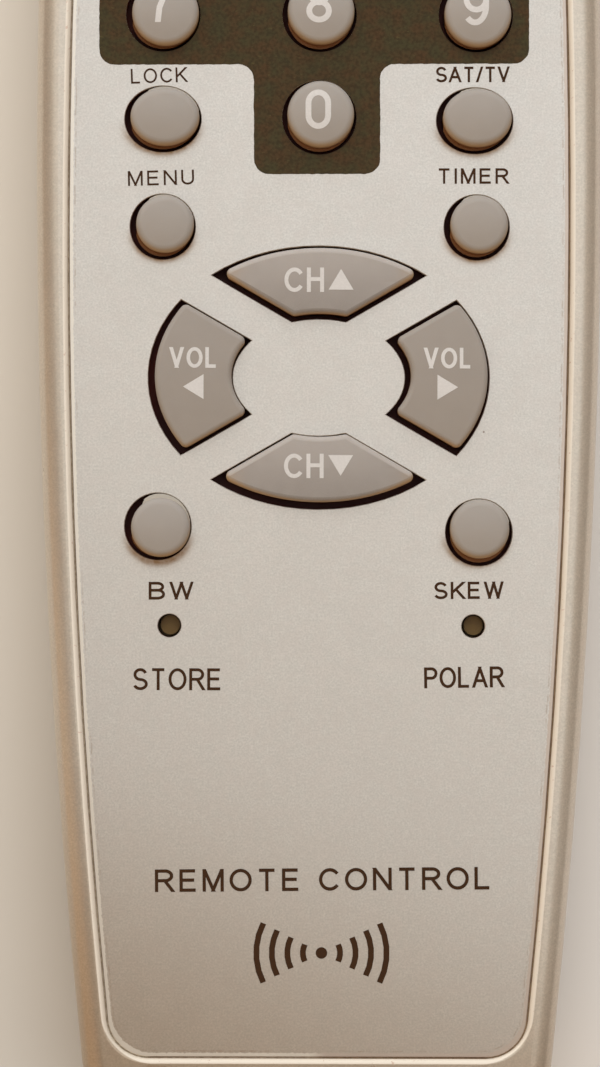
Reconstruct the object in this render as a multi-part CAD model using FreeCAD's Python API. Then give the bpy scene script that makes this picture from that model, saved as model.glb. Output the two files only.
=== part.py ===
import FreeCAD, Part
import math
import os
from dataclasses import dataclass, replace

# A hand-held infrared remote control for a satellite receiver, lying on its back.
# X runs across it, +Y runs to the infrared window at its head, +Z is up through the keys.
# The origin is under the middle of the case, on the surface that it lies on. Millimetres.

V = FreeCAD.Vector
UP = V(0, 0, 1)
ALONG = V(0, 1, 0)
SIDES = (-1, 1)
SOLIDS = "parts"
PAST = 1.0            # how far a cutting solid runs past the face that it cuts
TOUCH = 2e-3          # two levels this close are the same level
EVERYWHERE = 400.0    # further out than any part

# Case: plan shape and levels
CASE_LENGTH = 176.0
CASE_HALF_WIDTH = 27.4
CASE_SIDE_RADIUS = 850.0
CASE_WIDEST_Y = 7.4
CASE_END_RADIUS = 160.0
CASE_CORNER = 6.5
LEAST_CORNER = 0.8
WALL = 2.0
PARTING_Z = 11.0
RIM_Z = 21.2
BELLY_RADIUS = 6.0
SHOULDER_SIDE = 2.2
SHOULDER_END = 6.0
SEAM_CHAMFER = 0.25
LAP_OUT = 1.1
LAP_HEIGHT = 1.2
LAP_GAP = 0.1
CATCH_Y = (-78.0, -40.0, 0.0, 40.0)
CATCH_LENGTH = 6.0
CATCH_REACH = 0.3
CATCH_Z = (11.45, 11.95)

# Pocket for the face plate, and the deck under it
POCKET_HALF_WIDTH = 24.28
POCKET_SIDE_RADIUS = 758.0
POCKET_HALF_LENGTH = 80.6
POCKET_CORNER = 4.1
POCKET_LIP = 0.45
POCKET_Z = 20.0
DECK_Z = 18.4
DECK_HOLE_GROW = 0.1
PLATE_GAP = 0.15
PLATE_THICK = 0.7
PLATE_BEVEL = 0.06

# Keys: the pitch of the grid and the holes in the face plate
COLUMN = 15.1
SIDE_COLUMN = 15.5
SAT_TV_PLACE = (15.0, 10.0)
TIMER_X = 15.22
PIN_NAMES = ("key_store", "key_polar")
PIN_X = (-14.36, 14.98)
ROW = 10.1
FIRST_ROW_Y = 10.1
ZERO_Y = 10.29
MENU_ROW_Y = -0.3
RING_Y = -14.84
BANDWIDTH_Y = -29.23
SKEW_Y = -29.75
PIN_ROW_Y = -38.82
DIGIT_HOLE = (3.6, 3.6)
ROUND_HOLE = (3.16, 3.16)
WIDE_HOLE = (3.23, 3.23)
OVAL_HOLE = (3.7, 3.19)
PIN_HOLE = (1.13, 1.13)
KEY_CLEARANCE = 0.38
PIN_CLEARANCE = 0.2

# Keys: their caps, and the flanges and the rubber mat under them
KEY_RISE = 1.5
PIN_DEPTH = 1.1
KEY_EDGE = 0.75
RING_EDGE = 0.5
DOME_RADIUS = 13.0
RING_DOME_RADIUS = 60.0
RING_TIP_RADIUS = 0.6
FLANGE_REACH = 0.55
FLANGE_THICK = 0.9
KEY_TRAVEL = 1.05
FOOT_SPARE = 0.05
MAT_THICK = 1.2
MAT_HOLE_GROW = 0.85
COLLAR_WALL = 0.4
COLLAR_HEIGHT = 0.65
MAT_HALF_WIDTH = 20.4
MAT_HEAD_Y = 77.5
MAT_TAIL_Y = -42.5
MAT_CORNER = 4.0
MAT_BOSS_GAP = 0.3

# The ring of four arrow keys lies between two ellipses, cut by four sloping bars
RING_OUTER = (16.48, 12.72)
RING_INNER = (8.34, 5.66)
BAR_ANGLE = math.radians(30.0)
CHANNEL_APEX = 3.87
VOLUME_APEX = 0.3

# Circuit board
BOARD_Z = 14.6
BOARD_THICK = 1.6
BOARD_INSET = 3.3
BOARD_HEAD_Y = 79.0
BOARD_TAIL_Y = -43.5
BOARD_SCREWS = [(-7.55, 45.45), (7.55, 45.45), (-7.55, 5.05), (7.55, 5.05)]
BOARD_BOSS = 2.2
BOARD_SCREW_HOLE = 1.1
BOARD_BOSS_GAP = 0.4
SUPPORT_POSTS = [(-21.7, 65.0), (21.7, 65.0), (-21.9, 20.0), (21.9, 20.0), (-21.8, -25.0), (21.8, -25.0)]
SUPPORT_RADIUS = 1.2

# Screws: two longer ones hold the case halves together, four short ones the board
CASE_SCREWS = [(-7.55, 55.55), (7.55, 55.55)]
CASE_BOSS = 2.5
CASE_WELL_BOSS = 3.3
CASE_WELL = 2.7
CASE_WELL_Z = 8.0
CASE_BOSS_MEET_Z = 12.6
CASE_SHANK_HOLE = 1.25
BOARD_PILOT = 0.8
CASE_PILOT = 1.05
BOARD_PILOT_Z = 19.2
CASE_PILOT_Z = 18.0
PILOT_CLEARANCE = 0.02
HEAD_ROUNDING = 0.6    # of the head's height
SHANK_POINT = 0.5      # of the shank's radius
CROSS_ARM = 0.6        # of the head's radius
CROSS_HALF = 0.12      # of the head's radius
CROSS_DEPTH = 0.55     # of the head's height

# Battery bay: two AAA cells side by side under the tail
CELL_RADIUS = 5.25
CELL_LENGTH = 44.5
CELL_EDGE = 0.5
NUB_RADIUS = 1.9
NUB_LENGTH = 1.0
NUB_EDGE = 0.3
SLEEVE_THICK = 0.15
SLEEVE_MARGIN = 0.9
CELL_X = 5.6
CELL_Z = 7.7
BAY_HEAD_Y = -30.7
BAY_TAIL_Y = -81.1
BAY_HALF_WIDTH = 11.4
BAY_WALL = 1.2
BAY_ROOF_Z = 13.1
BAY_ROOF_THICK = 1.0
BAY_RIB_HALF_WIDTH = 1.0
BAY_RIB_DEPTH = 1.2

# Battery contacts: sheets on the bay's end walls, with a button or a conical spring
CONTACT_THICK = 0.3
CONTACT_HALF_WIDTH = 4.2
CONTACT_BELOW = 4.2
CONTACT_ABOVE = 4.6
TAB_HALF_WIDTH = 1.0
TAB_SLOT_HALF_WIDTH = 1.3
TAB_SLOT_DEPTH = 0.5
TAB_SLOT_GAP = 0.1
BUTTON_RADIUS = 2.4
BUTTON_HEIGHT = 0.7
BUTTON_EDGE = 0.3
STRAP_HALF_HEIGHT = 2.0
SPRING_WIRE = 0.35
SPRING_WIDE = 3.9
SPRING_NARROW = 2.5
SPRING_PITCH = 1.4
SPRING_ARCS = 8        # arcs in one turn

# Battery door: slides off over the tail on two side rails
DOOR_HALF_WIDTH = 13.0
DOOR_HEAD_Y = -31.2
DOOR_GAP = 0.22
DOOR_END_HALF_WIDTH = 17.0
DOOR_END_Y = -81.5
DOOR_END_Z = 7.0
RAIL_REACH = 1.7
RAIL_ROOT = 11.6
RAIL_LOW = 2.25
RAIL_HIGH = 3.3
RAIL_SHORT = 2.5
CHANNEL_ROOF = 3.6
CHANNEL_ROOF_THICK = 1.0
JOIN = 0.1             # how far a wall runs into the skin that it stands on
DISH_HALF_AXES = (7.5, 4.6)
DISH_DEPTH = 0.8
DISH_BACK = 9.0
DISH_RIBS = 4
RIB_PITCH = 1.5
RIB_HALF_LENGTH = 5.2
RIB_HALF_WIDTH = 0.35
RIB_Z = (0.25, 1.0)
ARROW_BACK = 18.0
ARROW_HALF_WIDTH = 2.6
ARROW_LENGTH = 3.6
ARROW_DEPTH = 0.35

# Infrared window and emitter at the head
WINDOW_HALF_WIDTH = 11.0
WINDOW_LOW = 7.0
WINDOW_HIGH = 16.0
WINDOW_GAP = 0.12
WINDOW_REACH = 5.0
WINDOW_FLANGE_SIDE = 1.2
WINDOW_FLANGE_LOW = 0.7
WINDOW_FLANGE_HIGH = 0.3
WINDOW_FLANGE_THICK = 1.0
EMITTER_RADIUS = 2.5
EMITTER_Z = 11.4
EMITTER_TIP_Y = 84.4
EMITTER_BASE_Y = 75.8
EMITTER_RIM = (2.9, 1.0)

# Components under the board
LEAD_HALF = 0.25
LEAD_PITCH = 1.27
EMITTER_LEAD_RUN = 3.0
CHIP_CENTRE = (0.0, 27.0)
CHIP_HALF = (3.75, 6.4)
CHIP_DEPTH = 2.5
CHIP_LIFT = 0.15
CHIP_EDGE = 0.35
CHIP_MARK_INSET = 1.3
CHIP_MARK_RADIUS = 0.5
CHIP_PINS_A_SIDE = 10
PIN_HALF_WIDTH = 0.2
PIN_THICK = 0.25
PIN_DROP = 1.3
PIN_OUT = (0.45, 0.7)
PIN_TOE = 1.5
RESONATOR_X = (-13.0, -6.0)
RESONATOR_Y = (25.0, 28.5)
RESONATOR_DEPTH = (0.8, 8.0)
RESONATOR_EDGE = 0.7
RESONATOR_LEG_INSET = 1.0
CAPACITOR_RADIUS = 2.5
CAPACITOR_LENGTH = 11.0
CAPACITOR_PLACE = (12.0, 14.0)
CAPACITOR_DROP = 2.7
CAPACITOR_EDGE = 0.4
GROOVE_BACK = 1.4
GROOVE_WIDTH = 0.8
GROOVE_DEPTH = 0.25
TRANSISTOR_PLACE = (8.0, 62.0)
TRANSISTOR_RADIUS = 2.35
TRANSISTOR_DEPTH = (1.4, 6.0)
TRANSISTOR_FLAT = 1.4
RESISTOR_X = (-14.0, -9.0, 9.0, 14.0)
RESISTOR_Y = 34.6
RESISTOR_DROP = 1.35
RESISTOR_RADIUS = 0.95
RESISTOR_LENGTH = 5.0
RESISTOR_CAP = (1.15, 1.3)
RESISTOR_LEAD = 1.6

CASE_END = CASE_LENGTH / 2
BOARD_TOP = BOARD_Z + BOARD_THICK
PLATE_TOP = POCKET_Z + PLATE_THICK
KEY_FOOT = BOARD_TOP + KEY_TRAVEL + FOOT_SPARE
FLANGE_TOP = KEY_FOOT + FLANGE_THICK
MAT_TOP = BOARD_TOP + MAT_THICK
DECK_MIDDLE = (POCKET_Z + DECK_Z) / 2


def span(a, b):
    """Two numbers as a (low, high) span, whichever comes first."""
    return (min(a, b), max(a, b))


def around(middle, half):
    """The span that reaches half each way from a middle."""
    return (middle - half, middle + half)


def block(x, y, z):
    """A box from three (low, high) spans."""
    return Part.makeBox(x[1] - x[0], y[1] - y[0], z[1] - z[0], V(x[0], y[0], z[0]))


def rod(x, y, radius, low, high):
    """An upright cylinder."""
    return Part.makeCylinder(radius, high - low, V(x, y, low), UP)


def fused(solids):
    """Several touching solids as one, with no seams left between coplanar faces."""
    return solids[0].multiFuse(solids[1:]).removeSplitter()


def upright_edges(solid, height):
    """The straight upright edges as tall as the solid."""
    found = []
    for edge in solid.Edges:
        box = edge.BoundBox
        if abs(box.ZLength - height) < TOUCH and box.XLength < TOUCH and box.YLength < TOUCH:
            found.append(edge)
    return found


def level_edges(solid, z, half_x=EVERYWHERE, half_y=EVERYWHERE):
    """The edges that lie wholly at one level, and no further out than a rectangle about the origin."""
    found = []
    for edge in solid.Edges:
        middle = edge.valueAt((edge.FirstParameter + edge.LastParameter) / 2)
        level = abs(edge.BoundBox.ZMin - z) < TOUCH and abs(edge.BoundBox.ZMax - z) < TOUCH
        if level and abs(middle.x) < half_x and abs(middle.y) < half_y:
            found.append(edge)
    return found


def crosswise_edges(solid):
    """The edges that lie in a plane square to Y, such as the rims of a barrel along Y."""
    return [edge for edge in solid.Edges if edge.BoundBox.YLength < TOUCH]


def ellipse_prism(centre, half_axes, low, high):
    """An upright prism over an ellipse or a circle."""
    half_x, half_y = half_axes
    if math.isclose(half_x, half_y):
        return rod(centre[0], centre[1], half_x, low, high)
    middle = V(centre[0], centre[1], low)
    wire = Part.Wire(Part.Ellipse(middle, half_x, half_y).toShape())
    return Part.Face(wire).extrude(V(0, 0, high - low))


def polygon_prism(points, low, high):
    """An upright prism over a closed polygon."""
    corners = [V(x, y, low) for x, y in points]
    return Part.Face(Part.makePolygon(corners + corners[:1])).extrude(V(0, 0, high - low))


@dataclass(frozen=True)
class Outline:
    """A barrel-shaped plan: two long side arcs, two ends that may be arched, four round corners."""
    half_width: float
    side_radius: float
    widest_y: float
    half_length: float
    end_radius: float
    corner: float

    def inset(self, depth):
        """The same plan drawn that much further in."""
        return replace(
            self, half_width=self.half_width - depth, side_radius=self.side_radius - depth,
            half_length=self.half_length - depth,
            end_radius=self.end_radius - depth if self.end_radius else 0.0,
            corner=max(self.corner - depth, LEAST_CORNER),
        )

    def half_at(self, y):
        """Half the width at a place along the case."""
        drop = self.side_radius - math.sqrt(self.side_radius ** 2 - (y - self.widest_y) ** 2)
        return self.half_width - drop

    def corner_point(self, side):
        """Where the side arc meets the end arc, before the corner is rounded; side is +1 at the head."""
        y = side * self.half_length
        for _ in range(20):
            x = self.half_at(y)
            sag = self.end_radius - math.sqrt(self.end_radius ** 2 - x ** 2) if self.end_radius else 0.0
            y = side * (self.half_length - sag)
        return x, y

    def prism(self, low, high):
        """The plan as an upright solid between two levels."""
        head_x, head_y = self.corner_point(1)
        tail_x, tail_y = self.corner_point(-1)
        head_right, head_left = V(head_x, head_y, low), V(-head_x, head_y, low)
        tail_right, tail_left = V(tail_x, tail_y, low), V(-tail_x, tail_y, low)
        edges = [
            Part.Arc(head_right, V(self.half_width, self.widest_y, low), tail_right).toShape(),
            self.end_edge(tail_right, tail_left, -self.half_length),
            Part.Arc(tail_left, V(-self.half_width, self.widest_y, low), head_left).toShape(),
            self.end_edge(head_left, head_right, self.half_length),
        ]
        solid = Part.Face(Part.Wire(edges)).extrude(V(0, 0, high - low))
        return solid.makeFillet(self.corner, upright_edges(solid, high - low))

    def end_edge(self, start, finish, y):
        """The edge across one end, an arc or a straight line."""
        if self.end_radius:
            return Part.Arc(start, V(0, y, start.z), finish).toShape()
        return Part.LineSegment(start, finish).toShape()


CASE = Outline(CASE_HALF_WIDTH, CASE_SIDE_RADIUS, CASE_WIDEST_Y, CASE_END, CASE_END_RADIUS, CASE_CORNER)
POCKET = Outline(POCKET_HALF_WIDTH, POCKET_SIDE_RADIUS, 0.0, POCKET_HALF_LENGTH, 0.0, POCKET_CORNER)


@dataclass(frozen=True)
class Key:
    """One rubber key: its hole in the face plate, and how far off the hole's centre it sits."""
    name: str
    x: float
    y: float
    form: str
    hole: tuple
    sit: tuple

    def in_ring(self):
        """Whether the key is one of the four arrow keys."""
        return self.form in ("up", "down", "left", "right")

    def prism(self, grow, low, high, seated=True):
        """The hole's outline grown by some amount, as a solid; seated moves it to where the key sits."""
        if self.in_ring():
            solid = ring_sector(self.form, grow, low, high)
        else:
            solid = ellipse_prism((self.x, self.y), (self.hole[0] + grow, self.hole[1] + grow), low, high)
        if seated:
            solid.translate(V(self.sit[0], self.sit[1], 0))
        return solid


def ring_sector(direction, grow, low, high):
    """One quarter of the arrow ring: between two ellipses and two sloping lines."""
    centre = (0.0, RING_Y)
    outer = ellipse_prism(centre, (RING_OUTER[0] + grow, RING_OUTER[1] + grow), low, high)
    inner = ellipse_prism(centre, (RING_INNER[0] - grow, RING_INNER[1] - grow), low, high)
    far = RING_OUTER[0] * 2
    if direction in ("up", "down"):
        apex = CHANNEL_APEX - grow / math.cos(BAR_ANGLE)
        side_y = apex + far * math.tan(BAR_ANGLE)
        wedge = [(0, apex), (far, side_y), (far, far * 2), (-far, far * 2), (-far, side_y)]
    else:
        apex = VOLUME_APEX - grow / math.sin(BAR_ANGLE)
        side_y = (far - apex) * math.tan(BAR_ANGLE)
        wedge = [(apex, 0), (far, side_y), (far, -side_y)]
    flip_x = -1 if direction == "left" else 1
    flip_y = -1 if direction == "down" else 1
    points = [(x * flip_x, RING_Y + y * flip_y) for x, y in wedge]
    return outer.cut(inner).common(polygon_prism(points, low, high))


def digit_keys():
    """The keys 1 to 9 in three rows, and 0 below them."""
    sit_of_column = [(0.24, 0.08), (0.14, 0.24), (0.16, 0.0)]
    found = [Key("key_0", 0.0, ZERO_Y, "round", DIGIT_HOLE, (0.13, 0.22))]
    for number in range(9):
        row, column = divmod(number, 3)
        x, y = (column - 1) * COLUMN, FIRST_ROW_Y + (3 - row) * ROW
        found.append(Key(f"key_{number + 1}", x, y, "round", DIGIT_HOLE, sit_of_column[column]))
    return found


def ring_keys():
    """The two channel keys and the two volume keys round the ring."""
    placed = [
        ("key_channel_up", "up", (0.12, 0.1)),
        ("key_channel_down", "down", (0.1, 0.3)),
        ("key_volume_down", "left", (0.31, 0.1)),
        ("key_volume_up", "right", (0.17, 0.12)),
    ]
    return [Key(name, 0.0, RING_Y, form, (0, 0), sit) for name, form, sit in placed]


def function_keys():
    """The keys beside and above the digits, beside the ring, and the two that a pin presses."""
    head_row = FIRST_ROW_Y + 6 * ROW
    placed = [
        ("key_power", -COLUMN, head_row, OVAL_HOLE, (0.18, 0.05)),
        ("key_mute", COLUMN, head_row, OVAL_HOLE, (0.16, 0.02)),
        ("key_pause", -COLUMN, head_row - ROW, ROUND_HOLE, (0.2, 0.0)),
        ("key_favourite", 0.0, head_row - ROW, ROUND_HOLE, (0.12, 0.04)),
        ("key_recall", COLUMN, head_row - ROW, ROUND_HOLE, (0.15, -0.03)),
        ("key_audio", -COLUMN, head_row - 2 * ROW, ROUND_HOLE, (0.17, 0.06)),
        ("key_guide", 0.0, head_row - 2 * ROW, ROUND_HOLE, (0.1, 0.02)),
        ("key_radio", COLUMN, head_row - 2 * ROW, ROUND_HOLE, (0.12, 0.05)),
        ("key_lock", -COLUMN, FIRST_ROW_Y, OVAL_HOLE, (0.2, 0.13)),
        ("key_sat_tv", SAT_TV_PLACE[0], SAT_TV_PLACE[1], OVAL_HOLE, (0.24, 0.19)),
        ("key_menu", -COLUMN, MENU_ROW_Y, ROUND_HOLE, (0.24, 0.2)),
        ("key_timer", TIMER_X, MENU_ROW_Y, ROUND_HOLE, (0.22, 0.2)),
        ("key_bandwidth", -SIDE_COLUMN, BANDWIDTH_Y, WIDE_HOLE, (0.29, -0.12)),
        ("key_skew", SIDE_COLUMN, SKEW_Y, WIDE_HOLE, (0.05, 0.32)),
    ]
    keys = [Key(name, x, y, "round", hole, sit) for name, x, y, hole, sit in placed]
    pins = [Key(name, x, PIN_ROW_Y, "pin", PIN_HOLE, (0.05, 0.05)) for name, x in zip(PIN_NAMES, PIN_X)]
    return keys + pins


KEYS = digit_keys() + ring_keys() + function_keys()


def key_cap(key):
    """The part of a key that stands in its hole, with a domed top and a soft edge."""
    if key.form == "pin":
        return key.prism(-PIN_CLEARANCE, KEY_FOOT, PLATE_TOP - PIN_DEPTH)
    crown = PLATE_TOP + KEY_RISE
    stem_top = crown + PAST
    stem = key.prism(-KEY_CLEARANCE, KEY_FOOT, stem_top)
    middle, radius = V(key.x + key.sit[0], key.y + key.sit[1], crown), DOME_RADIUS
    if key.in_ring():
        stem = stem.makeFillet(RING_TIP_RADIUS, upright_edges(stem, stem_top - KEY_FOOT))
        middle, radius = stem.BoundBox.Center, RING_DOME_RADIUS
    cap = stem.common(Part.makeSphere(radius, V(middle.x, middle.y, crown - radius)))
    rim = [edge for edge in cap.Edges if edge.BoundBox.ZMin > PLATE_TOP]
    return cap.makeFillet(RING_EDGE if key.in_ring() else KEY_EDGE, rim)


def key_solid(key):
    """A whole key: the cap, and the flange that keeps it under the deck."""
    return fused([key_cap(key), key.prism(FLANGE_REACH, KEY_FOOT, FLANGE_TOP)])


def keypad_mat():
    """The rubber sheet on the board, with a raised collar round each key."""
    sheet = block(around(0, MAT_HALF_WIDTH), (MAT_TAIL_Y, MAT_HEAD_Y), (BOARD_TOP, MAT_TOP))
    sheet = sheet.makeFillet(MAT_CORNER, upright_edges(sheet, MAT_THICK))
    low, top = BOARD_TOP - PAST, MAT_TOP + COLLAR_HEIGHT
    collars = [key.prism(MAT_HOLE_GROW + COLLAR_WALL, MAT_TOP - JOIN, top) for key in KEYS]
    holes = [key.prism(MAT_HOLE_GROW, low, top + PAST) for key in KEYS]
    holes += [rod(x, y, BOARD_BOSS + MAT_BOSS_GAP, low, MAT_TOP + PAST) for x, y in BOARD_SCREWS]
    holes += [rod(x, y, CASE_BOSS + MAT_BOSS_GAP, low, MAT_TOP + PAST) for x, y in CASE_SCREWS]
    return fused([sheet] + collars).cut(Part.makeCompound(holes))


def shoulder_radii(edge):
    """The radius at each end of one stretch of the case's top edge."""
    start, finish = edge.valueAt(edge.FirstParameter), edge.valueAt(edge.LastParameter)
    if edge.Length > CASE_LENGTH / 2:
        return SHOULDER_SIDE, SHOULDER_SIDE
    if abs(start.y - finish.y) < TOUCH:
        return SHOULDER_END, SHOULDER_END
    if abs(start.y) > abs(finish.y):
        return SHOULDER_END, SHOULDER_SIDE
    return SHOULDER_SIDE, SHOULDER_END


def shouldered(solid):
    """Rounds the case's top edge: tightly along the sides, broadly at the ends, blending at the corners."""
    document = FreeCAD.newDocument()
    base = document.addObject("Part::Feature", "base")
    base.Shape = solid
    rounding = document.addObject("Part::Fillet", "rounding")
    rounding.Base = base
    rounding.Edges = [
        (number, *shoulder_radii(edge)) for number, edge in enumerate(solid.Edges, start=1)
        if abs(edge.BoundBox.ZMin - RIM_Z) < TOUCH
    ]
    document.recompute()
    shape = rounding.Shape.copy()
    FreeCAD.closeDocument(document.Name)
    return shape.Solids[0]


def upper_body():
    """The outer form of the case above its seam."""
    return shouldered(CASE.prism(PARTING_Z, RIM_Z))


def lower_body():
    """The outer form of the case below its seam."""
    body = CASE.prism(0.0, PARTING_Z)
    return body.makeFillet(BELLY_RADIUS, level_edges(body, 0.0))


def upper_cavity():
    """The hollow of the upper half."""
    hollow = CASE.inset(WALL).prism(PARTING_Z - PAST, DECK_Z)
    return hollow.makeFillet(WALL, level_edges(hollow, DECK_Z))


def lower_cavity():
    """The hollow of the lower half."""
    hollow = CASE.inset(WALL).prism(WALL, PARTING_Z + PAST)
    return hollow.makeFillet(BELLY_RADIUS - WALL, level_edges(hollow, WALL))


def head_block(half_x, z):
    """A block that runs through the wall at the head."""
    return block(around(0, half_x), (CASE_END - WINDOW_REACH, CASE_END + PAST), z)


def window_opening():
    """The notch through the head wall that the infrared window fills."""
    return head_block(WINDOW_HALF_WIDTH, (WINDOW_LOW, WINDOW_HIGH))


def catches(gap):
    """The snap catches on the lap, one to a side at each place, grown by a gap."""
    low, high = CATCH_Z[0] - gap, CATCH_Z[1] + gap
    band = CASE.inset(LAP_OUT - CATCH_REACH + LAP_GAP - gap).prism(low, high)
    band = band.cut(CASE.inset(WALL).prism(low - PAST, high + PAST))
    reach = CATCH_LENGTH / 2 + gap
    stretches = [block(around(0, EVERYWHERE), around(y, reach), (low, high)) for y in CATCH_Y]
    return band.common(Part.makeCompound(stretches))


def upper_shell():
    """The upper case half: pocket, key holes, bosses and posts."""
    body = upper_body()
    body = body.makeChamfer(SEAM_CHAMFER, level_edges(body, PARTING_Z))
    body = body.cut(POCKET.prism(POCKET_Z, RIM_Z + PAST))
    lip = level_edges(body, RIM_Z, POCKET_HALF_WIDTH + TOUCH, POCKET_HALF_LENGTH + TOUCH)
    body = body.makeFillet(POCKET_LIP, lip)
    body = body.cut(upper_cavity())
    body = body.cut(CASE.inset(LAP_OUT).prism(PARTING_Z - PAST, PARTING_Z + LAP_HEIGHT + LAP_GAP))
    body = body.cut(catches(LAP_GAP)).cut(window_opening())
    added = [rod(x, y, BOARD_BOSS, BOARD_TOP, DECK_MIDDLE) for x, y in BOARD_SCREWS]
    added += [rod(x, y, SUPPORT_RADIUS, BOARD_TOP, DECK_MIDDLE) for x, y in SUPPORT_POSTS]
    added += [rod(x, y, CASE_BOSS, CASE_BOSS_MEET_Z, DECK_MIDDLE) for x, y in CASE_SCREWS]
    body = fused([body] + added)
    holes = [key.prism(DECK_HOLE_GROW, DECK_Z - PAST, POCKET_Z + PAST, seated=False) for key in KEYS]
    holes += [rod(x, y, BOARD_PILOT, BOARD_TOP - PAST, BOARD_PILOT_Z) for x, y in BOARD_SCREWS]
    holes += [rod(x, y, CASE_PILOT, CASE_BOSS_MEET_Z - PAST, CASE_PILOT_Z) for x, y in CASE_SCREWS]
    return body.cut(Part.makeCompound(holes))


def face_plate():
    """The thin front panel that lies in the pocket, its edges and holes just broken."""
    plate = POCKET.inset(PLATE_GAP).prism(POCKET_Z, PLATE_TOP)
    holes = [key.prism(0.0, POCKET_Z - PAST, PLATE_TOP + PAST, seated=False) for key in KEYS]
    plate = plate.cut(Part.makeCompound(holes))
    return plate.makeChamfer(PLATE_BEVEL, level_edges(plate, PLATE_TOP))


def door_cut(gap):
    """What the battery door takes out of the lower shell's skin, with a gap round it."""
    past_tail = -CASE_END - PAST
    panel_y, end_y = (past_tail, DOOR_HEAD_Y + gap), (past_tail, DOOR_END_Y + gap)
    panel = block(around(0, DOOR_HALF_WIDTH + gap), panel_y, (-PAST, WALL + TOUCH / 2))
    return panel.fuse(block(around(0, DOOR_END_HALF_WIDTH + gap), end_y, (-PAST, DOOR_END_Z + gap)))


def bay_walls():
    """The tray that holds the cells, and the channels that the door's rails run in."""
    outer = BAY_HALF_WIDTH + BAY_WALL
    roof_top = BAY_ROOF_Z + BAY_ROOF_THICK
    channel_in = DOOR_HALF_WIDTH + RAIL_REACH + DOOR_GAP
    channel_out = channel_in + BAY_WALL
    tray_y = (BAY_TAIL_Y - BAY_WALL, BAY_HEAD_Y + BAY_WALL)
    head_y, tail_y = (BAY_HEAD_Y, tray_y[1]), (tray_y[0], BAY_TAIL_Y)
    channel_y = (DOOR_END_Y + DOOR_GAP, tray_y[1])
    wall_z = (CHANNEL_ROOF, roof_top)
    channel_roof_z = (CHANNEL_ROOF, CHANNEL_ROOF + CHANNEL_ROOF_THICK)
    channel_wall_z = (WALL - JOIN, channel_roof_z[1])
    rib_z = (BAY_ROOF_Z - BAY_RIB_DEPTH, roof_top)
    pieces = [
        block(around(0, outer), tray_y, (BAY_ROOF_Z, roof_top)),
        block(around(0, outer), tail_y, wall_z),
        block(around(0, RAIL_ROOT - DOOR_GAP), tail_y, (RAIL_LOW + JOIN, CHANNEL_ROOF)),
        block(around(0, channel_out), head_y, channel_wall_z),
        block(around(0, outer), head_y, wall_z),
        block(around(0, BAY_RIB_HALF_WIDTH), (BAY_TAIL_Y, BAY_HEAD_Y), rib_z),
    ]
    for side in SIDES:
        pieces += [
            block(span(side * BAY_HALF_WIDTH, side * outer), tray_y, wall_z),
            block(span(side * BAY_HALF_WIDTH, side * channel_out), channel_y, channel_roof_z),
            block(span(side * channel_in, side * channel_out), channel_y, channel_wall_z),
        ]
    return pieces


def contact_slots():
    """Slots in the bay roof for the tabs that rise from the contacts to the board."""
    y_span = (BAY_HEAD_Y - TAB_SLOT_DEPTH, BAY_HEAD_Y + TAB_SLOT_GAP)
    z_span = (BAY_ROOF_Z - PAST, BOARD_Z)
    return [block(around(side * CELL_X, TAB_SLOT_HALF_WIDTH), y_span, z_span) for side in SIDES]


def lower_shell():
    """The lower case half: lap, window notch, screw wells, battery bay and door opening."""
    body = lower_body()
    body = body.makeChamfer(SEAM_CHAMFER, level_edges(body, PARTING_Z)).cut(lower_cavity())
    lap = CASE.inset(LAP_OUT + LAP_GAP).prism(PARTING_Z - PAST, PARTING_Z + LAP_HEIGHT)
    lap = lap.cut(CASE.inset(WALL).prism(PARTING_Z - 2 * PAST, PARTING_Z + LAP_HEIGHT + PAST))
    wells = [rod(x, y, CASE_WELL_BOSS, WALL / 2, CASE_BOSS_MEET_Z - LAP_GAP) for x, y in CASE_SCREWS]
    body = body.cut(door_cut(DOOR_GAP))
    body = fused([body, lap, catches(0.0)] + wells + bay_walls())
    cuts = [window_opening()] + contact_slots()
    cuts += [rod(x, y, CASE_WELL, -PAST, CASE_WELL_Z) for x, y in CASE_SCREWS]
    cuts += [rod(x, y, CASE_SHANK_HOLE, 0, CASE_BOSS_MEET_Z + PAST) for x, y in CASE_SCREWS]
    return body.cut(Part.makeCompound(cuts))


def door_rails():
    """The two L-shaped rails that run in the lower shell's channels."""
    rail_y = (DOOR_END_Y, DOOR_HEAD_Y - RAIL_SHORT)
    pieces = []
    for side in SIDES:
        foot = span(side * RAIL_ROOT, side * DOOR_HALF_WIDTH)
        rail = span(side * RAIL_ROOT, side * (DOOR_HALF_WIDTH + RAIL_REACH))
        pieces.append(block(foot, rail_y, (WALL - JOIN, RAIL_LOW)))
        pieces.append(block(rail, rail_y, (RAIL_LOW, RAIL_HIGH)))
    return pieces


def thumb_ribs(middle_y):
    """Short ribs across the door's thumb dish."""
    first_y = middle_y - (DISH_RIBS - 1) / 2 * RIB_PITCH
    return [
        block(around(0, RIB_HALF_LENGTH), around(first_y + step * RIB_PITCH, RIB_HALF_WIDTH), RIB_Z)
        for step in range(DISH_RIBS)
    ]


def battery_door():
    """The door: a panel of the belly, the low end of the tail, two rails and a ribbed thumb dish."""
    skin = lower_body().cut(lower_cavity())
    door = fused([skin.common(door_cut(0.0))] + door_rails())
    dish_y, arrow_y = DOOR_HEAD_Y - DISH_BACK, DOOR_HEAD_Y - ARROW_BACK
    dish = ellipse_prism((0.0, dish_y), DISH_HALF_AXES, -PAST, DISH_DEPTH)
    corners = [(-ARROW_HALF_WIDTH, arrow_y), (ARROW_HALF_WIDTH, arrow_y), (0, arrow_y - ARROW_LENGTH)]
    arrow = polygon_prism(corners, -PAST, ARROW_DEPTH)
    return fused([door.cut(Part.makeCompound([dish, arrow]))] + thumb_ribs(dish_y))


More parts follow.
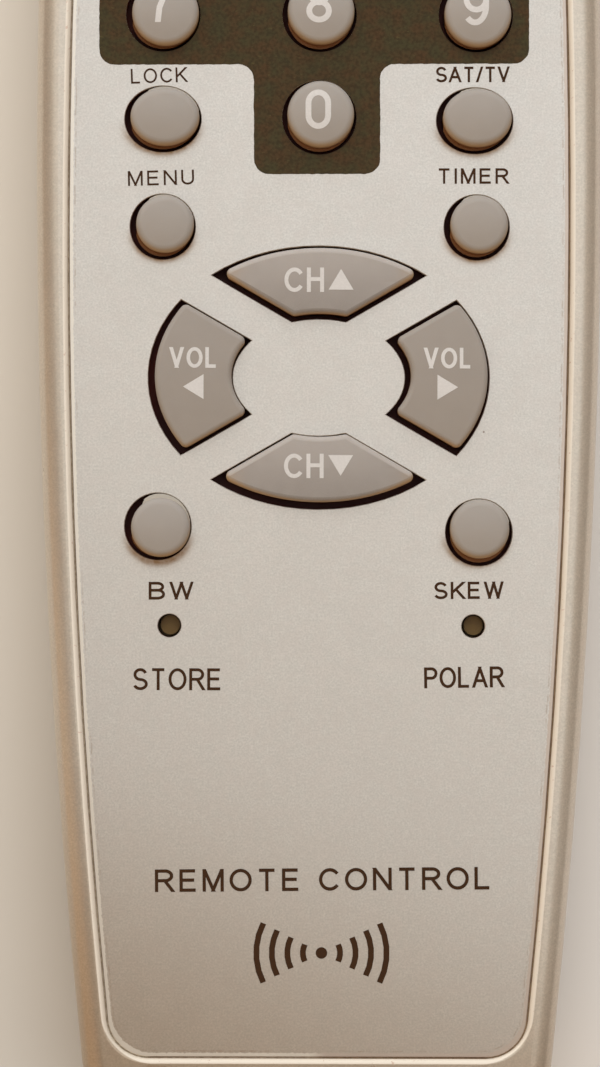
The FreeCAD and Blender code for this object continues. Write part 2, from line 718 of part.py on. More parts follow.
def infrared_window():
    """The dark red window: flush with the head, with a flange behind the wall."""
    bodies = upper_body().fuse(lower_body()).removeSplitter()
    skin = bodies.cut(CASE.inset(WALL).prism(-PAST, RIM_Z + PAST))
    pane_z = (WINDOW_LOW + WINDOW_GAP, WINDOW_HIGH - WINDOW_GAP)
    pane = skin.common(head_block(WINDOW_HALF_WIDTH - WINDOW_GAP, pane_z))
    flange_z = (WINDOW_LOW - WINDOW_FLANGE_LOW, WINDOW_HIGH + WINDOW_FLANGE_HIGH)
    flange = CASE.inset(WALL).prism(*flange_z)
    flange = flange.cut(CASE.inset(WALL + WINDOW_FLANGE_THICK).prism(0, RIM_Z))
    flange = flange.common(head_block(WINDOW_HALF_WIDTH + WINDOW_FLANGE_SIDE, flange_z))
    return fused([pane, flange])


def circuit_board():
    """The board, with holes for its screws and clearance holes for the case bosses."""
    board_z = (BOARD_Z, BOARD_TOP)
    plan = CASE.inset(BOARD_INSET).prism(*board_z)
    plan = plan.common(block(around(0, EVERYWHERE), (BOARD_TAIL_Y, BOARD_HEAD_Y), board_z))
    low, high = BOARD_Z - PAST, BOARD_TOP + PAST
    cuts = [rod(x, y, BOARD_SCREW_HOLE, low, high) for x, y in BOARD_SCREWS]
    cuts += [rod(x, y, CASE_BOSS + BOARD_BOSS_GAP, low, high) for x, y in CASE_SCREWS]
    return plan.cut(Part.makeCompound(cuts))


@dataclass(frozen=True)
class Screw:
    """A pan-head screw that is driven upwards."""
    head_radius: float
    head_height: float
    shank_radius: float
    length: float

    def solid(self, x, y, seat):
        """The screw with its head drawn up against a seat."""
        low = seat - self.head_height
        head = rod(x, y, self.head_radius, low, seat)
        head = head.makeFillet(self.head_height * HEAD_ROUNDING, level_edges(head, low))
        shank = rod(x, y, self.shank_radius, seat, seat + self.length)
        shank = shank.makeChamfer(self.shank_radius * SHANK_POINT, level_edges(shank, seat + self.length))
        return head.fuse(shank).cut(self.cross(x, y, (low - PAST, low + self.head_height * CROSS_DEPTH)))

    def cross(self, x, y, z_span):
        """The recess for the driver."""
        arm, half = self.head_radius * CROSS_ARM, self.head_radius * CROSS_HALF
        bar = block(around(x, arm), around(y, half), z_span)
        return bar.fuse(block(around(x, half), around(y, arm), z_span))


BOARD_SCREW = Screw(head_radius=1.9, head_height=1.2, shank_radius=BOARD_PILOT - PILOT_CLEARANCE, length=4.0)
CASE_SCREW = Screw(head_radius=2.3, head_height=1.7, shank_radius=CASE_PILOT - PILOT_CLEARANCE, length=9.0)


def board_screws():
    """Four screws that hold the board up against the bosses."""
    return Part.makeCompound([BOARD_SCREW.solid(x, y, BOARD_Z) for x, y in BOARD_SCREWS])


def case_screws():
    """Two longer screws in the wells of the lower shell."""
    return Part.makeCompound([CASE_SCREW.solid(x, y, CASE_WELL_Z) for x, y in CASE_SCREWS])


def infrared_emitter():
    """The domed five-millimetre diode that shines through the window."""
    rim_radius, rim_thick = EMITTER_RIM
    rim_y, dome_y = EMITTER_BASE_Y + rim_thick, EMITTER_TIP_Y - EMITTER_RADIUS
    base = Part.makeCylinder(rim_radius, rim_thick, V(0, EMITTER_BASE_Y, EMITTER_Z), ALONG)
    barrel = Part.makeCylinder(EMITTER_RADIUS, dome_y - rim_y, V(0, rim_y, EMITTER_Z), ALONG)
    return fused([base, barrel, Part.makeSphere(EMITTER_RADIUS, V(0, dome_y, EMITTER_Z))])


def emitter_leads():
    """Two square leads that run back from the diode and turn up to the board."""
    back = EMITTER_BASE_Y - EMITTER_LEAD_RUN
    low = EMITTER_Z - LEAD_HALF
    made = []
    for side in SIDES:
        across = around(side * LEAD_PITCH, LEAD_HALF)
        run = block(across, (back, EMITTER_BASE_Y), (low, EMITTER_Z + LEAD_HALF))
        rise = block(across, (back, back + 2 * LEAD_HALF), (low, BOARD_Z))
        made.append(fused([run, rise]))
    return Part.makeCompound(made)


def control_chip():
    """The encoder chip's moulded body under the board, with a round mark by its first pin."""
    (x, y), (half_x, half_y) = CHIP_CENTRE, CHIP_HALF
    low = BOARD_Z - CHIP_DEPTH
    body = block(around(x, half_x), around(y, half_y), (low, BOARD_Z - CHIP_LIFT))
    body = body.makeChamfer(CHIP_EDGE, level_edges(body, low))
    mark_x, mark_y = x - half_x + CHIP_MARK_INSET, y + half_y - CHIP_MARK_INSET
    return body.cut(rod(mark_x, mark_y, CHIP_MARK_RADIUS, low - PAST, low + CHIP_LIFT))


def chip_pins():
    """Gull-wing pins along the chip's two long sides."""
    top = BOARD_Z - PIN_DROP + PIN_THICK
    made = []
    for side in SIDES:
        root = CHIP_CENTRE[0] + side * CHIP_HALF[0]
        bend, knee, toe = (root + side * reach for reach in (*PIN_OUT, PIN_TOE))
        for step in range(CHIP_PINS_A_SIDE):
            along = around(CHIP_CENTRE[1] + (step - (CHIP_PINS_A_SIDE - 1) / 2) * LEAD_PITCH, PIN_HALF_WIDTH)
            made.append(fused([
                block(span(root, knee), along, (BOARD_Z - PIN_DROP, top)),
                block(span(bend, knee), along, (BOARD_Z - PIN_DROP, BOARD_Z)),
                block(span(bend, toe), along, (BOARD_Z - PIN_THICK, BOARD_Z)),
            ]))
    return Part.makeCompound(made)


def ceramic_resonator():
    """The small potted block that times the chip, on two legs."""
    near, far = BOARD_Z - RESONATOR_DEPTH[0], BOARD_Z - RESONATOR_DEPTH[1]
    body = block(RESONATOR_X, RESONATOR_Y, (far, near))
    body = body.makeFillet(RESONATOR_EDGE, [edge for edge in body.Edges if edge.BoundBox.ZMin < far + TOUCH])
    middle_y = sum(RESONATOR_Y) / 2
    legs = [
        block(around(x, LEAD_HALF), around(middle_y, LEAD_HALF), (near, BOARD_Z))
        for x in (RESONATOR_X[0] + RESONATOR_LEG_INSET, RESONATOR_X[1] - RESONATOR_LEG_INSET)
    ]
    return fused([body] + legs)


def filter_capacitor():
    """The electrolytic can, laid on its side under the board, with a groove rolled round it."""
    x, y = CAPACITOR_PLACE
    z = BOARD_Z - CAPACITOR_DROP
    can = Part.makeCylinder(CAPACITOR_RADIUS, CAPACITOR_LENGTH, V(x, y, z), ALONG)
    can = can.makeFillet(CAPACITOR_EDGE, crosswise_edges(can))
    start = V(x, y + GROOVE_BACK, z)
    groove = Part.makeCylinder(CAPACITOR_RADIUS + PAST, GROOVE_WIDTH, start, ALONG)
    neck = Part.makeCylinder(CAPACITOR_RADIUS - GROOVE_DEPTH, GROOVE_WIDTH, start, ALONG)
    return can.cut(groove.cut(neck))


def driver_transistor():
    """The flat-fronted transistor that drives the emitter, on three legs."""
    x, y = TRANSISTOR_PLACE
    near, far = BOARD_Z - TRANSISTOR_DEPTH[0], BOARD_Z - TRANSISTOR_DEPTH[1]
    body = rod(x, y, TRANSISTOR_RADIUS, far, near)
    past_y = y - TRANSISTOR_RADIUS - PAST
    body = body.cut(block(around(x, TRANSISTOR_RADIUS), (past_y, y - TRANSISTOR_FLAT), (far, near)))
    legs = [
        block(around(x + step * LEAD_PITCH, PIN_HALF_WIDTH), around(y, PIN_HALF_WIDTH), (near, BOARD_Z))
        for step in (-1, 0, 1)
    ]
    return fused([body] + legs)


def resistor(x):
    """One axial resistor with its bent leads."""
    y, z = RESISTOR_Y, BOARD_Z - RESISTOR_DROP
    cap_radius, cap_length = RESISTOR_CAP
    across = around(x, LEAD_HALF)
    pieces = [Part.makeCylinder(RESISTOR_RADIUS, RESISTOR_LENGTH, V(x, y, z), ALONG)]
    for start in (y, y + RESISTOR_LENGTH - cap_length):
        pieces.append(Part.makeCylinder(cap_radius, cap_length, V(x, start, z), ALONG))
    for side, start in ((-1, y), (1, y + RESISTOR_LENGTH)):
        tip = start + side * RESISTOR_LEAD
        pieces.append(block(across, span(start, tip), around(z, LEAD_HALF)))
        pieces.append(block(across, span(tip - side * 2 * LEAD_HALF, tip), (z - LEAD_HALF, BOARD_Z)))
    return fused(pieces)


def resistors():
    """Four axial resistors, as one group."""
    return Part.makeCompound([resistor(x) for x in RESISTOR_X])


def heading(side):
    """The way that a cell's nub points along Y; side is -1 for the left cell, whose nub faces the head."""
    return -side


def nub_tip_y(side):
    """Where a cell's nub ends."""
    inset = CONTACT_THICK + BUTTON_HEIGHT
    return BAY_HEAD_Y - inset if heading(side) > 0 else BAY_TAIL_Y + inset


def cell(side):
    """One cell's steel can with its nub."""
    tip, axis = nub_tip_y(side), V(0, heading(side), 0)
    can_length = CELL_LENGTH - NUB_LENGTH
    base = V(side * CELL_X, tip - heading(side) * CELL_LENGTH, CELL_Z)
    can = Part.makeCylinder(CELL_RADIUS - SLEEVE_THICK, can_length, base, axis)
    can = can.makeFillet(CELL_EDGE, crosswise_edges(can))
    nub = Part.makeCylinder(NUB_RADIUS, NUB_LENGTH + CELL_EDGE, base + axis * (can_length - CELL_EDGE), axis)
    tip_edges = [edge for edge in crosswise_edges(nub) if abs(edge.BoundBox.YMin - tip) < TOUCH]
    return fused([can, nub.makeFillet(NUB_EDGE, tip_edges)])


def cell_sleeve(side):
    """The printed sleeve round one cell."""
    axis = V(0, heading(side), 0)
    start = V(side * CELL_X, nub_tip_y(side) - heading(side) * (CELL_LENGTH - SLEEVE_MARGIN), CELL_Z)
    length = CELL_LENGTH - NUB_LENGTH - 2 * SLEEVE_MARGIN
    tube = Part.makeCylinder(CELL_RADIUS, length, start, axis)
    return tube.cut(Part.makeCylinder(CELL_RADIUS - SLEEVE_THICK, length, start, axis))


def contact_sheet(x, face_y, inward):
    """A sheet that lies on a bay wall behind one cell; inward is the way to the cell."""
    y_span = span(face_y, face_y + inward * CONTACT_THICK)
    return block(around(x, CONTACT_HALF_WIDTH), y_span, (CELL_Z - CONTACT_BELOW, CELL_Z + CONTACT_ABOVE))


def contact_tab(x, face_y, inward):
    """The tab that rises from a contact through the bay roof to the board."""
    y_span = span(face_y, face_y + inward * CONTACT_THICK)
    return block(around(x, TAB_HALF_WIDTH), y_span, (CELL_Z, BOARD_Z))


def contact_button(x, face_y, inward):
    """The raised button that meets a cell's nub."""
    start = V(x, face_y + inward * CONTACT_THICK, CELL_Z)
    button = Part.makeCylinder(BUTTON_RADIUS, BUTTON_HEIGHT, start, V(0, inward, 0))
    crown_y = start.y + inward * BUTTON_HEIGHT
    crown = [edge for edge in crosswise_edges(button) if abs(edge.BoundBox.YMin - crown_y) < TOUCH]
    return button.makeFillet(BUTTON_EDGE, crown)


def coil_points(height):
    """Points along a conical coil about Z, wide at the bottom and narrow at the top."""
    turns = height / SPRING_PITCH
    count = round(turns * SPRING_ARCS)
    points = []
    for step in range(count + 1):
        share = step / count
        angle = 2 * math.pi * turns * share
        radius = SPRING_WIDE + (SPRING_NARROW - SPRING_WIDE) * share
        points.append(V(radius * math.cos(angle), radius * math.sin(angle), height * share))
    return points


def tangent_arcs(points, way):
    """An arc from each point to the next, each leaving the way that the last one arrived."""
    edges = []
    for start, finish in zip(points, points[1:]):
        chord = finish - start
        along = V(chord).normalize()
        cosine = along.dot(way)
        side = (way - along * cosine).normalize()
        sag = chord.Length / 2 * math.tan(math.acos(cosine) / 2)
        edges.append(Part.Arc(start, (start + finish) * 0.5 + side * sag, finish).toShape())
        way = (along * (2 * cosine) - way).normalize()
    return edges


def contact_spring(side, face_y, inward):
    """A conical spring from a bay wall to a cell's flat end; side is -1 for the left cell."""
    flat_y = nub_tip_y(side) - heading(side) * CELL_LENGTH
    height = abs(flat_y - face_y) - CONTACT_THICK - 2 * SPRING_WIRE
    points = coil_points(height)
    run = 2 * math.pi * SPRING_WIDE * height / SPRING_PITCH
    way = V(SPRING_NARROW - SPRING_WIDE, run, height).normalize()
    profile = Part.Face(Part.Wire(Part.Circle(points[0], way, SPRING_WIRE).toShape()))
    coil = Part.Wire(tangent_arcs(points, way)).makePipe(profile)
    coil.rotate(V(0, 0, 0), V(1, 0, 0), -90.0 * inward)
    coil.translate(V(side * CELL_X, face_y + inward * (CONTACT_THICK + SPRING_WIRE), CELL_Z))
    return coil


def positive_contact():
    """The head-end contact of the left cell, with its button."""
    place = (-CELL_X, BAY_HEAD_Y, -1)
    return fused([contact_sheet(*place), contact_tab(*place), contact_button(*place)])


def negative_contact():
    """The head-end contact of the right cell, with its spring."""
    place = (CELL_X, BAY_HEAD_Y, -1)
    sheet = fused([contact_sheet(*place), contact_tab(*place)])
    return Part.makeCompound([sheet, contact_spring(1, BAY_HEAD_Y, -1)])


def bridge_contact():
    """The tail-end contact that joins the two cells in series."""
    strap_y = (BAY_TAIL_Y, BAY_TAIL_Y + CONTACT_THICK)
    plate = fused([
        contact_sheet(-CELL_X, BAY_TAIL_Y, 1),
        contact_sheet(CELL_X, BAY_TAIL_Y, 1),
        block(around(0, CELL_X), strap_y, around(CELL_Z, STRAP_HALF_HEIGHT)),
        contact_button(CELL_X, BAY_TAIL_Y, 1),
    ])
    return Part.makeCompound([plate, contact_spring(-1, BAY_TAIL_Y, 1)])


def all_pieces():
    """Every sub-part by name."""
    pieces = {
        "upper_shell": upper_shell(),
        "lower_shell": lower_shell(),
        "face_plate": face_plate(),
        "battery_door": battery_door(),
        "infrared_window": infrared_window(),
        "keypad_mat": keypad_mat(),
        "circuit_board": circuit_board(),
        "board_screws": board_screws(),
        "case_screws": case_screws(),
        "infrared_emitter": infrared_emitter(),
        "emitter_leads": emitter_leads(),
        "control_chip": control_chip(),
        "chip_pins": chip_pins(),
        "ceramic_resonator": ceramic_resonator(),
        "filter_capacitor": filter_capacitor(),
        "driver_transistor": driver_transistor(),
        "resistors": resistors(),
        "cell_left": cell(-1),
        "cell_right": cell(1),
        "cell_sleeve_left": cell_sleeve(-1),
        "cell_sleeve_right": cell_sleeve(1),
        "positive_contact": positive_contact(),
        "negative_contact": negative_contact(),
        "bridge_contact": bridge_contact(),
    }
    pieces.update({key.name: key_solid(key) for key in KEYS})
    return pieces


def main():
    """Builds every piece, checks that it is sound and writes it."""
    os.makedirs(SOLIDS, exist_ok=True)
    for name, shape in all_pieces().items():
        sound = shape.isValid() and all(solid.isClosed() for solid in shape.Solids)
        if not sound or not shape.Solids:
            raise ValueError(f"{name} isn't a sound solid")
        shape.exportStep(os.path.join(SOLIDS, f"{name}.step"))
        print(f"{name}: {len(shape.Solids)} solid(s), {shape.Volume:.1f} mm3")


main()
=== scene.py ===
"""The looks of a hand-held infrared remote control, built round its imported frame.

Sizes are written in millimetres and patterns are measured in millimetres. Each finished piece is in metres,
in the frame's own axes: X across the handset, +Y to the infrared window at its head, +Z up through the keys.
"""

import logging
import math
from dataclasses import dataclass, field, replace
from enum import Enum
from typing import Callable, Iterable, Optional, Sequence, Union

import bmesh
import bpy
from mathutils import Matrix, Vector, noise
from mathutils.bvhtree import BVHTree


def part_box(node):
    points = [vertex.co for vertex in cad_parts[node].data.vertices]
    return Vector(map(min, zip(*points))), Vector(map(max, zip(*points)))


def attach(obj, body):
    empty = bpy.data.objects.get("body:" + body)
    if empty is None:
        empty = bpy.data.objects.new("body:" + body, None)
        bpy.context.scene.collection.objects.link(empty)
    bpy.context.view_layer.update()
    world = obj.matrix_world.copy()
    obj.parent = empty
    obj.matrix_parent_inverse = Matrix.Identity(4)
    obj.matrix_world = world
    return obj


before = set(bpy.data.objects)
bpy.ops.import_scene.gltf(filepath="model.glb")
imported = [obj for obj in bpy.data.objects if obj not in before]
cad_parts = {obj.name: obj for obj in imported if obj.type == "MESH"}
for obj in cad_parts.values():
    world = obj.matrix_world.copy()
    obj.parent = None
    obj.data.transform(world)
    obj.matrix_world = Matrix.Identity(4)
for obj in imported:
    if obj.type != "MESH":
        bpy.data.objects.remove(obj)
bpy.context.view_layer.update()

log = logging.getLogger("remote_control")

MM = 0.001
CASE = "case"
SHARP_ANGLE = math.radians(38.0)
SHARPEST_MITRE = 0.45    # the least cosine of half a bend in a printed stroke
SAME_POINT = 0.05        # ends of a path nearer than this share of its stroke's width are one point
INK_FILM = 0.02          # how thick printed ink is, in millimetres
LAYER = 0.0015           # how much higher each stroke lies than the one before, in millimetres

Colour = tuple[float, float, float, float]
Tint = Union[Colour, bpy.types.NodeSocket]
Triple = tuple[float, float, float]
Point = tuple[float, float]
Span = tuple[float, float]
Operand = Union[float, "Signal"]
Height = Callable[[float, float], float]


def srgb(red: float, green: float, blue: float) -> Colour:
    """Turns a colour of 0 to 255 into linear light.

    Args:
        red: Red, 0 to 255.
        green: Green, 0 to 255.
        blue: Blue, 0 to 255.

    Returns:
        The linear colour, opaque.
    """
    shares = [part / 255.0 for part in (red, green, blue)]
    linear = [share / 12.92 if share <= 0.04045 else ((share + 0.055) / 1.055) ** 2.4 for share in shares]
    return (*linear, 1.0)


def shaded(colour: Colour, factor: float) -> Colour:
    """Multiplies a colour, for the lighter and darker parts of one finish.

    Args:
        colour: A linear colour.
        factor: Above 1 to lighten it, below 1 to darken it.

    Returns:
        The new colour, opaque.
    """
    red, green, blue, _ = colour
    return (min(red * factor, 1.0), min(green * factor, 1.0), min(blue * factor, 1.0), 1.0)


def tinted(colour: Colour, factors: Triple) -> Colour:
    """Multiplies each part of a colour by a factor of its own.

    Args:
        colour: A linear colour.
        factors: For red, green and blue.

    Returns:
        The new colour, opaque.
    """
    red, green, blue = (part * factor for part, factor in zip(colour, factors))
    return (red, green, blue, 1.0)


# ---------------------------------------------------------------------------------------------------------
# Shader maths
# ---------------------------------------------------------------------------------------------------------


class Signal:
    """A number that varies over a surface: one output socket of a material's nodes."""

    def __init__(self, graph: "Graph", socket: bpy.types.NodeSocket) -> None:
        """Wraps a socket of a graph."""
        self.graph = graph
        self.socket = socket

    def _math(self, operation: str, *values: Operand) -> "Signal":
        """Adds one Math node.

        Args:
            operation: The Math node's operation.
            *values: Its operands in order.

        Returns:
            The node's result.
        """
        node = self.graph.node("ShaderNodeMath", {"operation": operation}, dict(enumerate(values)))
        return Signal(self.graph, node.outputs[0])

    def __add__(self, other: Operand) -> "Signal":
        """self + other."""
        return self._math("ADD", self, other)

    def __radd__(self, other: Operand) -> "Signal":
        """other + self."""
        return self._math("ADD", other, self)

    def __sub__(self, other: Operand) -> "Signal":
        """self - other."""
        return self._math("SUBTRACT", self, other)

    def __rsub__(self, other: Operand) -> "Signal":
        """other - self."""
        return self._math("SUBTRACT", other, self)

    def __mul__(self, other: Operand) -> "Signal":
        """self * other."""
        return self._math("MULTIPLY", self, other)

    def __rmul__(self, other: Operand) -> "Signal":
        """other * self."""
        return self._math("MULTIPLY", other, self)

    def __truediv__(self, other: Operand) -> "Signal":
        """self / other."""
        return self._math("DIVIDE", self, other)

    def __abs__(self) -> "Signal":
        """The distance from nought."""
        return self._math("ABSOLUTE", self)

    def __mod__(self, other: Operand) -> "Signal":
        """What is left of self after whole steps of other, never negative."""
        return self._math("FLOORED_MODULO", self, other)

    def most(self, other: Operand) -> "Signal":
        """The larger of the two."""
        return self._math("MAXIMUM", self, other)

    def reach(self, other: "Signal") -> "Signal":
        """The length of the vector with these two as its legs."""
        return self._math("SQRT", self * self + other * other)

    def rise(self, low: float, high: float) -> "Signal":
        """A smooth step.

        Args:
            low: Where it starts from 0.
            high: Where it reaches 1; below low for a step that falls.

        Returns:
            The step, 0 to 1.
        """
        node = self.graph.node(
            "ShaderNodeMapRange", {"interpolation_type": "SMOOTHSTEP"},
            {"Value": self, "From Min": min(low, high), "From Max": max(low, high),
             "To Min": float(low > high), "To Max": float(low < high)},
        )
        return Signal(self.graph, node.outputs["Result"])

    def band(self, low: float, high: float, soft: float) -> "Signal":
        """1 between two values and 0 outside them.

        Args:
            low: The lower value.
            high: The higher value.
            soft: How wide each edge is.

        Returns:
            The mask.
        """
        return self.rise(low - soft, low + soft) * self.rise(high + soft, high - soft)


class Graph:
    """The nodes of one material or world."""

    def __init__(self, owner: Union[bpy.types.Material, bpy.types.World]) -> None:
        """Clears the owner's nodes."""
        owner.use_nodes = True
        self.tree = owner.node_tree
        self.tree.nodes.clear()

    def node(self, kind: str, settings: Optional[dict] = None,
             inputs: Optional[dict] = None) -> bpy.types.Node:
        """Adds one node.

        Args:
            kind: The node's type.
            settings: Its own settings, set first; "stops" gives a ramp's positions and colours.
            inputs: Values or links by the name or number of its sockets.

        Returns:
            The node.
        """
        made = self.tree.nodes.new(kind)
        for name, value in (settings or {}).items():
            if name == "stops":
                self._set_stops(made.color_ramp, value)
            else:
                setattr(made, name, value)
        for name, value in (inputs or {}).items():
            source = value.socket if isinstance(value, Signal) else value
            if isinstance(source, bpy.types.NodeSocket):
                self.tree.links.new(source, made.inputs[name])
            else:
                made.inputs[name].default_value = source
        return made

    @staticmethod
    def _set_stops(ramp: bpy.types.ColorRamp, stops: Sequence[tuple[float, Colour]]) -> None:
        """Sets a ramp's stops.

        Args:
            ramp: The ramp.
            stops: Positions and colours in rising order.
        """
        while len(ramp.elements) < len(stops):
            ramp.elements.new(1.0)
        for element, (position, colour) in zip(ramp.elements, stops):
            element.position = position
            element.color = colour

    def mix(self, share: Operand, first: Tint, second: Tint, blend: str = "MIX") -> bpy.types.NodeSocket:
        """Blends two colours.

        Args:
            share: How much of the second colour there is.
            first: A colour or a colour socket.
            second: A colour or a colour socket.
            blend: MIX to lay the second over the first, MULTIPLY to tint the first with it.

        Returns:
            The blended colour's socket.
        """
        settings = {"data_type": "RGBA", "blend_type": blend}
        return self.node("ShaderNodeMix", settings, {0: share, 6: first, 7: second}).outputs[2]


class Surface(Graph):
    """The nodes of a material. Its patterns are measured in millimetres of Object coordinates."""

    def __init__(self, name: str) -> None:
        """Starts an empty material with its coordinates ready."""
        self.material = bpy.data.materials.new(name)
        super().__init__(self.material)
        ways = self.node("ShaderNodeTexCoord").outputs
        self.place = self.node(
            "ShaderNodeVectorMath", {"operation": "SCALE"}, {"Vector": ways["Object"], "Scale": 1.0 / MM},
        ).outputs["Vector"]
        split = self.node("ShaderNodeSeparateXYZ", {}, {"Vector": self.place})
        self.x, self.y, self.z = (Signal(self, split.outputs[axis]) for axis in "XYZ")
        facing = self.node("ShaderNodeSeparateXYZ", {}, {"Vector": ways["Normal"]})
        self.facing_x, self.facing_y = (Signal(self, facing.outputs[axis]) for axis in "XY")

    def noise(self, size: float, detail: float = 2.0, stretch: Triple = (1, 1, 1)) -> Signal:
        """Soft noise.

        Args:
            size: How far apart its blobs are, in millimetres.
            detail: How many finer layers it has.
            stretch: How much longer the blobs are along each axis.

        Returns:
            Noise about 0.5.
        """
        scale = tuple(1.0 / (size * part) for part in stretch)
        mapped = self.node(
            "ShaderNodeMapping", {"vector_type": "POINT"}, {"Vector": self.place, "Scale": scale},
        )
        made = self.node(
            "ShaderNodeTexNoise", {"noise_dimensions": "3D"},
            {"Vector": mapped.outputs["Vector"], "Scale": 1.0, "Detail": detail, "Roughness": 0.55},
        )
        return Signal(self, made.outputs[0])

    def cells(self, size: float, spread: float = 1.0) -> tuple[Signal, Signal]:
        """Scattered points.

        Args:
            size: How far apart the points are, in millimetres.
            spread: 0 for a lattice, 1 for fully scattered.

        Returns:
            The distance to the nearest point in millimetres, and a random number for that point.
        """
        made = self.node(
            "ShaderNodeTexVoronoi", {"feature": "F1"},
            {"Vector": self.place, "Scale": 1.0 / size, "Randomness": spread},
        )
        split = self.node("ShaderNodeSeparateColor", {}, {"Color": made.outputs["Color"]})
        return Signal(self, made.outputs["Distance"]) * size, Signal(self, split.outputs[0])

    def bump(self, height: Signal, depth: float, under: Optional[bpy.types.NodeSocket] = None,
             ) -> bpy.types.NodeSocket:
        """A relief too fine to model.

        Args:
            height: The relief, 0 to 1.
            depth: How deep it is, in millimetres.
            under: The normal of a coarser relief that this one lies on.

        Returns:
            The normal.
        """
        inputs = {"Height": height, "Distance": depth * MM, "Strength": 1.0}
        if under is not None:
            inputs["Normal"] = under
        return self.node("ShaderNodeBump", {}, inputs).outputs["Normal"]

    def close(self, **inputs: object) -> None:
        """Ends the material in one Principled shader.

        Args:
            **inputs: Its sockets by name, with _ for a space.
        """
        named = {name.replace("_", " "): value for name, value in inputs.items()}
        shader = self.node("ShaderNodeBsdfPrincipled", {}, named)
        self.node("ShaderNodeOutputMaterial", {}, {"Surface": shader.outputs["BSDF"]})


# ---------------------------------------------------------------------------------------------------------
# Plans that both the shapes and the finishes follow
# ---------------------------------------------------------------------------------------------------------


def bow(centre: Point, radii: Point, start: float, finish: float, pitch: float = 10.0) -> list[Point]:
    """Part of an ellipse as points.

    Args:
        centre: Its centre.
        radii: Its half axes.
        start: Where it starts, in degrees from +X.
        finish: Where it ends; below start to run clockwise.
        pitch: About how many degrees apart its points are.

    Returns:
        Its points, with one at each end.
    """
    (x, y), (wide, tall) = centre, radii
    count = max(2, round(abs(finish - start) / pitch))
    angles = [math.radians(start + (finish - start) * step / count) for step in range(count + 1)]
    return [(x + wide * math.cos(angle), y + tall * math.sin(angle)) for angle in angles]


@dataclass(frozen=True)
class BarrelPlan:
    """A plan with two long side arcs, two ends and four round corners, in millimetres."""
    half_width: float
    side_radius: float
    widest_y: float
    half_length: float
    corner: float
    side_pitch: float = 0.25    # degrees between the points of a side arc

    def inset(self, gap: float) -> "BarrelPlan":
        """The same plan, smaller by an even gap."""
        return replace(
            self, half_width=self.half_width - gap, side_radius=self.side_radius - gap,
            half_length=self.half_length - gap, corner=self.corner - gap,
        )

    def outline(self) -> list[Point]:
        """The plan's edge, round from the middle of one end and back to where it starts."""
        reach = self.side_radius - self.half_width
        inner = self.side_radius - self.corner
        round_corner = (self.corner, self.corner)
        leans, centres = [], []
        for end in (self.corner - self.half_length, self.half_length - self.corner):
            lean = math.asin((end - self.widest_y) / inner)
            leans.append(math.degrees(lean))
            centres.append((inner * math.cos(lean) - reach, end))
        side = bow((-reach, self.widest_y), (self.side_radius, self.side_radius), *leans, self.side_pitch)
        right = [
            *bow(centres[0], round_corner, -90, leans[0]), *side[1:-1],
            *bow(centres[1], round_corner, leans[1], 90),
        ]
        left = [(-x, y) for x, y in reversed(right)]
        return [*right, *left, right[0]]

    def depth(self, graph: Surface) -> Signal:
        """How far inside the plan a point of a surface lies.

        Args:
            graph: The material that asks.

        Returns:
            The depth in millimetres near the outline, level beyond the corner's radius.
        """
        across = abs(graph.x) + (self.side_radius - self.half_width)
        side = self.side_radius - across.reach(graph.y - self.widest_y)
        end = self.half_length - abs(graph.y)
        return self.corner - (self.corner - side).most(0.0).reach((self.corner - end).most(0.0))


CASE_PLAN = BarrelPlan(half_width=27.4, side_radius=850.0, widest_y=7.4, half_length=88.0, corner=6.5)
POCKET_PLAN = BarrelPlan(half_width=24.28, side_radius=758.0, widest_y=0.0, half_length=80.6, corner=4.1)
PLATE_PLAN = POCKET_PLAN.inset(0.15)
DIGIT_KEYS = tuple(f"key_{number}" for number in range(10))
NAMED_KEYS = (    # the round and oval keys without a digit
    "key_lock", "key_sat_tv", "key_menu", "key_timer", "key_bandwidth", "key_skew", "key_power", "key_mute",
    "key_pause", "key_favourite", "key_recall", "key_audio", "key_guide", "key_radio",
)
PLATE_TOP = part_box("face_plate")[1].z / MM
RIM_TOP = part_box("upper_shell")[1].z / MM
BOARD_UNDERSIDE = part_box("circuit_board")[0].z / MM
BRIGHT_TIN = srgb(196, 196, 190)


# ---------------------------------------------------------------------------------------------------------
# Finishes
# ---------------------------------------------------------------------------------------------------------


@dataclass(frozen=True)
class Finish:
    """One finish of the handset. Its material is made once, however many pieces wear it."""
    name: str
    colour: Colour

    def material(self) -> bpy.types.Material:
        """The finish's material, under a name that no slot of the frame has."""
        label = f"{self.name}_finish"
        known = bpy.data.materials.get(label)
        if known is not None:
            return known
        graph = Surface(label)
        self.lay(graph)
        return graph.material

    def lay(self, graph: Surface) -> None:
        """Lays the finish's nodes."""
        raise NotImplementedError


